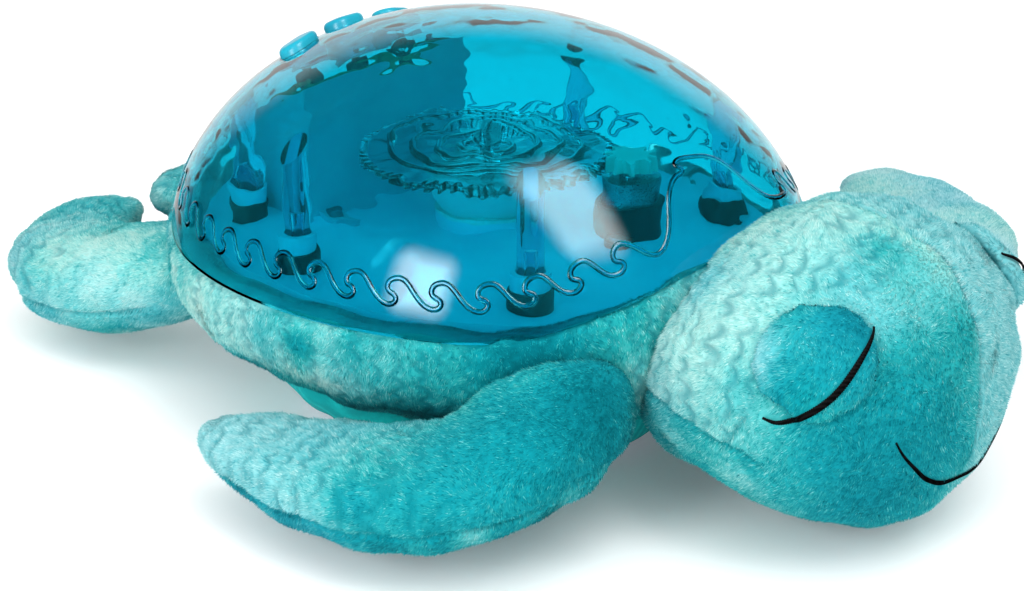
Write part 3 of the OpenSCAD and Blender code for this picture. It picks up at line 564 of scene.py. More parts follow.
def make_piece(
    name: str, points: np.ndarray, faces: np.ndarray, marks: dict[str, np.ndarray] | None = None
) -> bpy.types.Object:
    """Makes a smooth-shaded mesh object.

    Args:
        name: name of the piece.
        points: places in millimetres.
        faces: corners of each face, all with the same count.
        marks: values to store on the points.

    Returns:
        The new object, linked to the scene.
    """
    mesh = bpy.data.meshes.new(name)
    corners = faces.shape[1]
    mesh.vertices.add(len(points))
    mesh.vertices.foreach_set("co", (points * MM).astype(np.float32).ravel())
    mesh.loops.add(faces.size)
    mesh.loops.foreach_set("vertex_index", faces.astype(np.int32).ravel())
    mesh.polygons.add(len(faces))
    mesh.polygons.foreach_set("loop_start", np.arange(len(faces), dtype=np.int32) * corners)
    mesh.polygons.foreach_set("use_smooth", np.ones(len(faces), bool))
    mesh.update(calc_edges=True)
    for key, values in (marks or {}).items():
        store = mesh.attributes.new(key, "FLOAT", "POINT")
        store.data.foreach_set("value", np.asarray(values, np.float32))
    piece = bpy.data.objects.new(name, mesh)
    bpy.context.scene.collection.objects.link(piece)
    return piece


def grid_faces(rows: int, columns: int, closed: bool = True) -> np.ndarray:
    """Corners of a grid of rings.

    Args:
        rows: count of rings.
        columns: points in a ring.
        closed: whether each ring closes on itself.

    Returns:
        Four corners per face.
    """
    i, j = np.meshgrid(np.arange(rows - 1), np.arange(columns if closed else columns - 1), indexing="ij")
    k = (j + 1) % columns
    ring, over = i * columns, (i + 1) * columns
    return np.stack([ring + j, ring + k, over + k, over + j], -1).reshape(-1, 4)


def split_quads(faces: np.ndarray) -> np.ndarray:
    """Two triangles for each four-cornered face."""
    return np.concatenate([faces[:, [0, 1, 2]], faces[:, [0, 2, 3]]])


def capped_faces(rows: int, columns: int) -> np.ndarray:
    """Triangles of a grid of rings whose two ends are closed by fans.

    Args:
        rows: count of rings.
        columns: points in a ring.

    Returns:
        Three corners per face, the middles of the ends being two points after the grid's.
    """
    j = np.arange(columns)
    k = (j + 1) % columns
    apex, last = rows * columns, (rows - 1) * columns
    low = np.stack([np.full(columns, apex), k, j], 1)
    high = np.stack([np.full(columns, apex + 1), last + j, last + k], 1)
    return np.concatenate([split_quads(grid_faces(rows, columns)), low, high])


def circle(count: int) -> np.ndarray:
    """Points of a circle of radius 1, against the clock."""
    a = np.linspace(0, 2 * math.pi, count, endpoint=False)
    return np.stack([np.cos(a), np.sin(a)], 1)


def distance_along(line: np.ndarray) -> np.ndarray:
    """Distance from the start of a line to each of its points."""
    return np.concatenate([[0], np.cumsum(np.linalg.norm(np.diff(line, axis=0), axis=1))])


def resample(values: np.ndarray, places: np.ndarray, wanted: np.ndarray) -> np.ndarray:
    """Rows of values along a line, read off at other places on it."""
    return np.stack([np.interp(wanted, places, column) for column in values.T], 1)


def sweep(
    name: str, line: np.ndarray, up: np.ndarray, section: np.ndarray, scale: np.ndarray, closed: bool
) -> bpy.types.Object:
    """Sweeps a section along a line.

    Args:
        name: name of the piece.
        line: places along the line.
        up: direction of the section's second axis at each place.
        section: points across and up, against the clock seen along the line.
        scale: width and height of the section at each place.
        closed: whether the line closes on itself.

    Returns:
        The new object.
    """
    ahead = np.roll(line, -1, 0) - np.roll(line, 1, 0)
    if not closed:
        ahead[0], ahead[-1] = line[1] - line[0], line[-1] - line[-2]
    side = unit(np.cross(unit(ahead), up))
    rings = (
        line[:, None]
        + side[:, None] * (section[None, :, :1] * scale[:, None, :1])
        + up[:, None] * (section[None, :, 1:] * scale[:, None, 1:])
    )
    n, m = rings.shape[:2]
    points = rings.reshape(-1, 3)
    if closed:
        tris = split_quads(grid_faces(n + 1, m) % (n * m))
    else:
        points = np.concatenate([points, rings[0].mean(0)[None], rings[-1].mean(0)[None]])
        tris = capped_faces(n, m)
    return make_piece(name, points, tris[:, ::-1])


@dataclass
class Layout:
    """Where the patterns of a stuffed piece lie, one value per point."""

    along: np.ndarray
    across: np.ndarray
    scales: np.ndarray
    seam: np.ndarray
    under: np.ndarray
    flow: np.ndarray


@dataclass(frozen=True)
class DyeAndShadePatch:
    """A soft patch of colour, mostly dye, in two places painted shadow: place and reach in millimetres, depth
    from pale 0 to deep 1, coolness.

    A patch on one panel stops at the centre seam.
    """

    place: tuple[float, float, float]
    reach: float
    depth: float
    cool: float = 0.2
    panel: Side | None = None

    def share(self, p: np.ndarray) -> np.ndarray:
        """How much of the patch each point takes, from 0 to 1."""
        near = np.exp(-np.square(np.linalg.norm(p - self.place, axis=1) / self.reach))
        return near if self.panel is None else near * ramp(self.panel.value * p[:, 0], -0.5, 0.5)


@dataclass
class ShellForm:
    """The shell's ellipsoid and its rim, which other pieces keep clear of."""

    half_w: float = 105.0
    half_l: float = 121.0
    rise: float = 88.0
    mid: float = 55.0
    wall: float = 2.4
    rim_z: float = 68.0
    rim_level: float = 60.0
    rim_front: float = 75.0
    rim_rear: float = 148.0
    body_proud: float = 0.8
    body_sag: float = 42.3

    def rim(self, y: np.ndarray) -> np.ndarray:
        """Height of the rim at places along the turtle.

        Args:
            y: places along the turtle.

        Returns:
            The height at each place.
        """
        front = np.clip(-y - self.rim_level, 0, self.rim_front)
        rear = np.clip(y - self.rim_level, 0, self.rim_rear)
        rise = self.rim_front - np.sqrt(self.rim_front**2 - front**2)
        return self.rim_z + rise + self.rim_rear - np.sqrt(self.rim_rear**2 - rear**2)

    def at(self, theta: np.ndarray, phi: np.ndarray, inset: np.ndarray | float = 0.0) -> np.ndarray:
        """Points on the ellipsoid.

        Args:
            theta: bearings.
            phi: angles from the top.
            inset: how far the ellipsoid is drawn in.

        Returns:
            The points.
        """
        return np.stack([
            (self.half_w - inset) * np.sin(phi) * np.cos(theta),
            (self.half_l - inset) * np.sin(phi) * np.sin(theta),
            self.mid + (self.rise - inset) * np.cos(phi),
        ], -1)

    def rim_phi(self, theta: np.ndarray, inset: float = 0.0) -> np.ndarray:
        """Angle from the top at which the rim cuts each meridian.

        Args:
            theta: bearing of the meridians.
            inset: how far the ellipsoid is drawn in.

        Returns:
            The angle for each meridian.
        """
        low, high = np.zeros_like(theta), np.full_like(theta, math.pi / 2)
        for _ in range(40):
            middle = (low + high) / 2
            p = self.at(theta, middle, inset)
            above = p[:, 2] > self.rim(p[:, 1])
            low, high = np.where(above, middle, low), np.where(above, high, middle)
        return low

    def normal(self, points: np.ndarray) -> np.ndarray:
        """Outward directions of the ellipsoid."""
        axes = np.array([self.half_w, self.half_l, self.rise])
        return unit((points - [0, 0, self.mid]) / axes**2)

    def body_gap(self, points: np.ndarray) -> np.ndarray:
        """About how far points lie outside the stuffed body.

        Args:
            points: places in millimetres.

        Returns:
            The distance of each point, below 0 inside the body.
        """
        down = np.where(points[:, 2] > self.mid, self.rise + self.body_proud, self.body_sag)
        axes = np.stack([
            np.full(len(points), self.half_w + self.body_proud),
            np.full(len(points), self.half_l + self.body_proud), down,
        ], 1)
        q = points - [0, 0, self.mid]
        f = np.linalg.norm(q / axes, axis=1)
        return (f - 1) * np.linalg.norm(q, axis=1) / np.maximum(f, 1e-6)


SHELL = ShellForm()


@dataclass
class StuffedPiece:
    """A stuffed plush piece: its solid's form, swollen, embossed, seamed, dyed and covered in pile."""

    name: str
    node: str
    body: str
    voxel_mm: float = 3.0
    rounding: int = 10
    fill: float = 0.7
    dye: float = 0.35
    cool: float = 0.2
    dye_spread: float = 0.2
    under_dye_and_shade: float = 0.8
    patches: tuple[DyeAndShadePatch, ...] = ()
    cover: Cover = Cover.SCALED
    scale_mm: tuple[float, float] = (7.6, 7.2)
    scale_depth: float = 0.65
    seam_depth: float = 1.6
    pile_mm: float = 1.7
    pile_per_mm2: float = 3.4
    seed: int = 1
    bend: tuple | None = None
    points: np.ndarray = field(default=None, repr=False)
    normals: np.ndarray = field(default=None, repr=False)
    faces: np.ndarray = field(default=None, repr=False)
    marks: dict = field(default_factory=dict, repr=False)
    flow: np.ndarray = field(default=None, repr=False)
    tree: BVHTree = field(default=None, repr=False)

    def layout(self, p: np.ndarray, n: np.ndarray) -> Layout:
        """Pattern places of the piece, in each kind of piece its own way."""
        raise NotImplementedError

    def bare(self, p: np.ndarray, n: np.ndarray) -> np.ndarray:
        """Where the piece carries no pile: sewn to the body, or near another piece."""
        return SHELL.body_gap(p) < PILE_ROOM

    def swell(self) -> None:
        """Takes the solid's form, evens out its facets and splits it finely."""
        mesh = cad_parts[self.node].data.copy()
        mesh.materials.clear()
        form = bpy.data.objects.new(self.name + "_form", mesh)
        bpy.context.scene.collection.objects.link(form)
        weld = form.modifiers.new("weld", "WELD")
        weld.merge_threshold = 0.01 * MM
        remesh = form.modifiers.new("remesh", "REMESH")
        remesh.mode = "VOXEL"
        remesh.voxel_size = self.voxel_mm * MM
        smooth = form.modifiers.new("smooth", "SMOOTH")
        smooth.factor, smooth.iterations = 0.5, self.rounding
        fine = form.modifiers.new("fine", "SUBSURF")
        fine.levels = fine.render_levels = 2
        ready = form.evaluated_get(bpy.context.evaluated_depsgraph_get()).to_mesh()
        count = len(ready.vertices)
        co = np.zeros(count * 3, np.float32)
        ready.vertices.foreach_get("co", co)
        no = np.zeros(count * 3, np.float32)
        ready.vertices.foreach_get("normal", no)
        corners = np.zeros(len(ready.loops), np.int32)
        ready.loops.foreach_get("vertex_index", corners)
        self.points = co.reshape(-1, 3).astype(float) / MM
        self.normals = no.reshape(-1, 3).astype(float)
        self.faces = corners.reshape(-1, 4)
        bpy.data.objects.remove(form)

    def scale_lines(self, p: np.ndarray, lay: Layout) -> np.ndarray:
        """Embossed lines of overlapping scales.

        Args:
            p: places of the points.
            lay: their pattern places.

        Returns:
            How deep each point lies in a line, from 0 to 1.
        """
        if self.cover is Cover.PLAIN:
            return np.zeros(len(p))
        step, pitch = self.scale_mm
        a = lay.along + 1.3 * cloud(p, 32, self.seed + 40)
        b = lay.across + 1.3 * cloud(p, 32, self.seed + 41)
        line = np.zeros(len(a))
        for back in (0, 1):
            row = np.floor(a / step) - back
            stagger = 0.5 * (row % 2)
            middle = (np.floor(b / pitch - stagger) + 0.5 + stagger) * pitch
            reach = np.hypot((a - row * step) / (1.15 * step), (b - middle) / (0.56 * pitch))
            bow = np.exp(-((reach - 1) * 0.5 * pitch / 0.7) ** 2)
            line = np.maximum(line, bow * ramp((a - row * step) / step, 0.4, 0.9))
        worn = ramp(cloud(p, 15, self.seed + 42), -1.3, 0.4)
        return line * lay.scales * (0.3 + 0.7 * worn)

    def crease(self, others: list["StuffedPiece"], reach: float = 3.0) -> None:
        """Marks the seams where other pieces are sewn on: shorter pile, painted darker there as shade.

        Args:
            others: the pieces that meet this one.
            reach: how far from them the mark runs out.
        """
        near = self.marks["crease"]
        for other in others:
            tree = other.surface()
            low, high = other.points.min(0) - reach, other.points.max(0) + reach
            for i in np.flatnonzero(((self.points > low) & (self.points < high)).all(1)):
                gap = tree.find_nearest(self.points[i], reach)[3]
                if gap is not None:
                    near[i] = max(near[i], 1 - gap / reach)
        self.marks["groove_and_shade"] = np.maximum(self.marks["groove_and_shade"], near)

    def emboss(self) -> None:
        """Presses in scales and seams, adds the stuffing's lumps and works out the dye."""
        p = self.points
        lay = self.layout(p, self.normals)
        lines = self.scale_lines(p, lay)
        # Scale lines and seams sink the cloth and shorten the pile; the same mask paints them darker as shade
        groove_and_shade = np.clip(np.maximum(lines, lay.seam), 0, 1)
        lumps = 0.55 * cloud(p, 24, self.seed + 7)
        push = lumps - self.scale_depth * lines - self.seam_depth * lay.seam
        depth = self.dye + self.dye_spread * (
            0.75 * cloud(p, 46, self.seed) + 0.4 * cloud(p, 17, self.seed + 1)
        )
        cool = self.cool + 0.22 * cloud(p, 52, self.seed + 2)
        for patch in self.patches:
            near = patch.share(p)
            depth += near * (patch.depth - depth)
            cool += near * (patch.cool - cool)
        # Lower panels take their deeper dye; along the body's lower edge the same deepening is painted shade
        depth += lay.under * (self.under_dye_and_shade + 0.08 * cloud(p, 20, self.seed + 3) - depth)
        self.flow = lay.flow
        self.points = p + self.normals * push[:, None]
        self.points[:, 2] = np.maximum(self.points[:, 2], 0.0)
        # The cloth's tone of 0.4 matches the fibres' roots: painted shade beneath the pile
        self.marks = {
            "dye": np.clip(depth, 0, 1), "cool": np.clip(cool, 0, 0.85), "groove_and_shade": groove_and_shade,
            "tone": np.full(len(p), 0.4), "under": lay.under, "crease": np.zeros(len(p)),
        }

    def surface(self) -> BVHTree:
        """Makes the search tree of the finished surface at its first use.

        Returns:
            The tree, in millimetres.
        """
        if self.tree is None:
            self.tree = BVHTree.FromPolygons(self.points.tolist(), self.faces.tolist())
        return self.tree

    def build(self) -> bpy.types.Object:
        """Makes the cloth of the piece, and hangs it on its body.

        Returns:
            The new object.
        """
        piece = make_piece(self.name, self.points, self.faces, self.marks)
        MOTTLED_PLUSH.dress(piece)
        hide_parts(self.node)
        self.hang(piece)
        return piece

    def hang(self, piece: bpy.types.Object) -> None:
        """Rides a piece on the body, or, where a bend is given, bakes its place into the mesh and leaves it
        on no body.

        Args:
            piece: the cloth or some of the pile.
        """
        if self.bend is None:
            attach(piece, self.body)
        else:
            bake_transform(piece)

    def grow_pile(
        self, keep_off: list[tuple[np.ndarray, float]], neighbours: list["StuffedPiece"]
    ) -> list[bpy.types.Object]:
        """Covers the piece in short brushed fibres, each a closed tapered spike.

        Args:
            keep_off: lines and distances that the pile leaves free.
            neighbours: other pieces, in whose reach no pile grows.

        Returns:
            The pile of the upper panel and of the lower panel, where there are any.
        """
        rng = np.random.default_rng(self.seed + 100)
        tris = split_quads(self.faces)
        corner = self.points[tris]
        turn = np.cross(corner[:, 1] - corner[:, 0], corner[:, 2] - corner[:, 0])
        area = np.linalg.norm(turn, axis=1) / 2
        count = int(area.sum() * self.pile_per_mm2)
        which = np.searchsorted(np.cumsum(area), rng.uniform(0, area.sum(), count))
        which = np.minimum(which, len(tris) - 1)
        u, v = np.sqrt(rng.uniform(size=count)), rng.uniform(size=count)
        share = np.stack([1 - u, u * (1 - v), u * v], 1)
        pick = tris[which]
        root = (self.points[pick] * share[:, :, None]).sum(1)
        up = unit((self.normals[pick] * share[:, :, None]).sum(1))
        flow = (self.flow[pick] * share[:, :, None]).sum(1)
        mark = {key: (values[pick] * share).sum(1) for key, values in self.marks.items()}
        free = ~self.bare(root, up)
        for line, reach in keep_off:
            near = np.full(count, np.inf)
            for place in line:
                near = np.minimum(near, np.linalg.norm(root - place, axis=1))
            free &= near > reach
        for other in neighbours:
            low, high = other.points.min(0) - PILE_ROOM, other.points.max(0) + PILE_ROOM
            tree = other.surface()
            for i in np.flatnonzero(free & ((root > low) & (root < high)).all(1)):
                free[i] = tree.find_nearest(root[i], PILE_ROOM)[0] is None
        chosen = np.flatnonzero(free)
        root, up, flow = root[chosen], up[chosen], flow[chosen]
        mark = {key: values[chosen] for key, values in mark.items()}
        count = len(chosen)
        # The pattern shows on the tips, so each strand is rooted upstream of its place in it
        lay = self.layout(root, up)
        lines = np.maximum(self.scale_lines(root, lay), lay.seam)
        mark["groove_and_shade"] = np.clip(np.maximum(lines, mark["crease"]), 0, 1)
        swirl = np.stack([cloud(root, 21, self.seed + k) for k in (11, 12, 13)], 1)
        brush = unit(flow) + 0.4 * swirl + rng.normal(0, 0.28, (count, 3))
        brush = unit(brush - up * (brush * up).sum(1)[:, None])
        lean = np.radians(np.clip(rng.normal(65, 9, count), 30, 80))[:, None]
        ahead = unit(up * np.cos(lean) + brush * np.sin(lean))
        length = self.pile_mm * rng.uniform(0.7, 1.2, count) * (1 - 0.65 * mark["groove_and_shade"])
        side = unit(np.cross(ahead, up))
        top = np.cross(side, ahead)
        wide = rng.uniform(0.2, 0.31, count)[:, None]
        root = root - brush * (0.7 * length[:, None] * np.sin(lean))
        base = root - 0.4 * up
        turn_to = [(math.cos(a), math.sin(a)) for a in (math.pi / 2, math.pi * 7 / 6, math.pi * 11 / 6)]
        ring = [base + wide * (c * side + 0.7 * s * top) for c, s in turn_to]
        tip = root + ahead * length[:, None]
        tip[:, 2] = np.maximum(tip[:, 2], 0.3)
        points = np.stack([*ring, tip], 1)
        # Strands clump and take the dye unevenly, which gives the streaks of brushed plush
        strand = rng.normal(size=count)
        mark["dye"] = np.clip(mark["dye"] - 0.12 * strand - 0.06 * cloud(root, 4.5, self.seed + 14), 0, 1)
        tone = np.clip(0.52 + 0.06 * strand, 0.2, 0.9)
        # Root corners are painted darker and tips lighter: painted shade and light within the pile
        tones_with_painted_shade = np.stack([tone - 0.12] * 3 + [tone + 0.1], 1)
        shading = np.stack([unit(up + 0.5 * (q - base)) for q in ring] + [unit(up + 0.2 * ahead)], 1)
        pieces = []
        for label, rows, finish in (
            ("pile", np.flatnonzero(mark["under"] < 0.5), MOTTLED_PLUSH),
            ("under_pile", np.flatnonzero(mark["under"] >= 0.5), PLAIN_PLUSH),
        ):
            parts = max(1, math.ceil(len(rows) / FIBRES_PER_PIECE))
            for part, some in enumerate(np.array_split(rows, parts)):
                if len(some) < 10:
                    continue
                first = np.arange(len(some))[:, None, None] * 4
                faces = (first + np.array([[0, 3, 1], [1, 3, 2], [2, 3, 0], [0, 1, 2]])).reshape(-1, 3)
                marks = {key: np.repeat(mark[key][some], 4) for key in ("dye", "cool", "groove_and_shade")}
                marks["tone"] = tones_with_painted_shade[some].ravel()
                name = f"{self.name}_{label}_{part + 1}"
                piece = make_piece(name, points[some].reshape(-1, 3), faces, marks)
                piece.data.normals_split_custom_set_from_vertices(shading[some].reshape(-1, 3))
                finish.dress(piece)
                self.hang(piece)
                pieces.append(piece)
        return pieces


@dataclass
class Head(StuffedPiece):
    """The head: scaled crown and cheeks, plain muzzle, a centre seam and a lower panel."""

    neck_y: float = -101.0
    length: float = 97.0
    mid_z: float = 57.0
    seam_y: tuple[float, ...] = (-200.0, -185.0, -165.0, -150.0, -131.0, -107.0)
    seam_z: tuple[float, ...] = (6.0, 14.0, 33.0, 45.0, 49.0, 52.0)
    muzzle_y: float = -152.0
    muzzle_z: float = 58.0
    muzzle_slope: float = 0.62

    def layout(self, p: np.ndarray, n: np.ndarray) -> Layout:
        """Scales end at the muzzle; seams run along the middle, round the muzzle and over the lower panel.

        Args:
            p: places of the points.
            n: outward directions, not used here.

        Returns:
            The pattern places.
        """
        x, y, z = p.T
        t = (self.neck_y - y) / self.length
        middle = self.mid_z - 10.5 * np.square(np.maximum(0, 1 - t / 0.52)) - 6.8 * (t - 0.5)
        bearing = np.arctan2(x, z - middle)
        edge = np.interp(y, self.seam_y, self.seam_z)
        rear = ramp(y, -164, -148)
        under = ramp(edge - z, -0.6, 0.6) * rear
        centre = np.exp(-np.square(x / 1.0)) * ramp(z, 30, 36)
        side = np.exp(-np.square((z - edge) / 1.0)) * ramp(np.abs(x), 12, 22) * rear
        ahead = y - self.muzzle_y + self.muzzle_slope * (z - self.muzzle_z)
        fold = np.exp(-np.square(ahead / 1.2)) * ramp(z, 43, 46) * (1 - ramp(z, 57, 62))
        seam = np.maximum(centre, 0.8 * np.maximum(side, fold))
        scales = ramp(ahead, -3, 3) * (1 - under) * ramp(np.abs(x), 2, 6)
        flow = np.stack([0.25 * np.sign(x), np.full(len(x), 0.8), np.full(len(x), -0.6)], 1)
        return Layout(-y, 54 * bearing, scales, seam, under, flow)


@dataclass
class Eyelid(StuffedPiece):
    """A stuffed lid over a closed eye."""

    head: Head = None

    def layout(self, p: np.ndarray, n: np.ndarray) -> Layout:
        """Plain pile brushed down over the lid.

        Args:
            p: places of the points.
            n: outward directions, not used here.

        Returns:
            The pattern places.
        """
        zero = np.zeros(len(p))
        flow = np.tile([0.0, 0.5, -0.8], (len(p), 1))
        return Layout(p[:, 1], p[:, 2], zero, zero, zero, flow)

    def bare(self, p: np.ndarray, n: np.ndarray) -> np.ndarray:
        """The lid carries no pile where it lies on the head."""
        tree = self.head.surface()
        return np.array([tree.find_nearest(q, 1.4)[0] is not None for q in p])


@dataclass
class BodyRing(StuffedPiece):
    """The stuffed ring between the shell's rim and the belly seam."""

    def layout(self, p: np.ndarray, n: np.ndarray) -> Layout:
        """Scales run forward along the flanks, and the lower edge is painted deeper as shade.

        Args:
            p: places of the points.
            n: outward directions, not used here.

        Returns:
            The pattern places.
        """
        x, y, z = p.T
        around = np.arctan2(y / SHELL.half_l, x / SHELL.half_w)
        flank = ramp(SHELL.body_gap(p), -3, -1)
        out = np.stack([x, y, np.zeros(len(x))], 1)
        flow = unit(out) * 0.2 + np.array([0, -0.25, -1])
        # The colour deepens below about 40 mm: painted shade low on the body
        return Layout(
            -112 * np.abs(around - math.pi / 2), z * 1.15, flank * ramp(z, 30, 36), np.zeros(len(x)),
            ramp(40 - z, -6, 5), flow,
        )

    def bare(self, p: np.ndarray, n: np.ndarray) -> np.ndarray:
        """No pile in the hollow, on the seat of the shell's wall, or above its rim.

        Args:
            p: places of the points.
            n: outward directions.

        Returns:
            Whether each point is bare.
        """
        gap = SHELL.body_gap(p)
        rim = SHELL.rim(p[:, 1])
        outside = (gap > -2.2) & (p[:, 2] < rim - 0.2) & (p[:, 2] > 24)
        round_r = np.hypot(p[:, 0], p[:, 1] * SHELL.half_w / SHELL.half_l)
        shelf = (n[:, 2] > 0.55) & (p[:, 2] > rim - 3) & (gap < -7) & (round_r > 94)
        return ~(outside | shelf)


@dataclass
class Flipper(StuffedPiece):
    """A flipper walked along its headings, scaled above and plain below."""

    side: Side = Side.RIGHT
    root: tuple[float, float] = (0.0, 0.0)
    length: float = 100.0
    width: float = 60.0
    thick: float = 36.0
    headings: tuple[float, ...] = ()
    heights: tuple[float, ...] = ()
    widths: tuple[float, ...] = ()
    thicks: tuple[float, ...] = ()
    turn_deg: float = 0.0
    lift_deg: float = 0.0
    size: float = 1.0
    shoulder_ring: int = 2
    rings: int = 18

    def midline(self) -> np.ndarray:
        """Walks the middle of the right-hand flipper in plan.

        Returns:
            One point per ring.
        """
        steps = np.radians(through(self.headings, (np.arange(self.rings) + 0.5) / self.rings))
        walk = np.stack([np.cos(steps), np.sin(steps)], 1) * self.length / self.rings
        return np.concatenate([[self.root], self.root + np.cumsum(walk, 0)])

    def unturned(self, p: np.ndarray) -> tuple[np.ndarray, np.ndarray]:
        """Points brought to the unturned right-hand flipper.

        Args:
            p: places of the points.

        Returns:
            The places, and the matrix that takes directions back.
        """
        shoulder = self.midline()[self.shoulder_ring]
        pivot = np.array([-shoulder[0], shoulder[1], self.heights[0]])
        a, b = -math.radians(self.turn_deg), -math.radians(self.lift_deg)
        about_z = np.array([[math.cos(a), -math.sin(a), 0], [math.sin(a), math.cos(a), 0], [0, 0, 1]])
        about_y = np.array([[math.cos(b), 0, math.sin(b)], [0, 1, 0], [-math.sin(b), 0, math.cos(b)]])
        turn = about_z @ about_y
        flip = np.diag([-float(self.side.value), 1.0, 1.0])
        return ((p - pivot) @ turn / self.size + pivot) @ flip, flip @ turn.T

    def layout(self, p: np.ndarray, n: np.ndarray) -> Layout:
        """Scales run to the shoulder, and a seam runs round the edge.

        Args:
            p: places of the points.
            n: outward directions, not used here.

        Returns:
            The pattern places.
        """
        q, back = self.unturned(p)
        t = np.linspace(0, 1, 181)
        line = through(self.midline(), t)
        gap = np.stack([np.hypot(q[:, 0] - x, q[:, 1] - y) for x, y in line], 1)
        i = gap.argmin(1)
        ahead = unit(np.gradient(line, axis=0))[i]
        off = q[:, :2] - line[i]
        across = ahead[:, 0] * off[:, 1] - ahead[:, 1] * off[:, 0]
        share = t[i]
        high = q[:, 2] - through(self.heights, share)
        half_t = self.thick / 2 * through(self.thicks, share)
        half_w = self.width / 2 * through(self.widths, share)
        edge = -0.3 * half_t
        under = ramp(edge - high, -0.6, 0.6)
        rim = ramp(np.abs(across) / half_w + ramp(share, 0.93, 1.0), 0.55, 0.8)
        seam = np.exp(-np.square((high - edge) / 1.1)) * rim * ramp(share, 0.12, 0.2)
        scales = (1 - under) * ramp(share, 0.3, 0.45) * (1 - ramp(share, 0.93, 0.99))
        flow = np.stack([ahead[:, 0], ahead[:, 1], np.full(len(q), -0.35)], 1) @ back
        return Layout(-share * self.length, across, scales, 0.8 * seam, under, flow)


class Belly(StuffedPiece):
    """The smooth cloth belly that the turtle lies on."""

    def layout(self, p: np.ndarray, n: np.ndarray) -> Layout:
        """Plain cloth with no pattern of its own."""
        zero = np.zeros(len(p))
        return Layout(p[:, 1], p[:, 0], zero, zero, zero, np.zeros((len(p), 3)))

    def build(self) -> bpy.types.Object:
        """Makes the belly in its knit cloth, and hangs it on its body.

        Returns:
            The new object.
        """
        piece = super().build()
        return BELLY_KNIT.dress(piece)


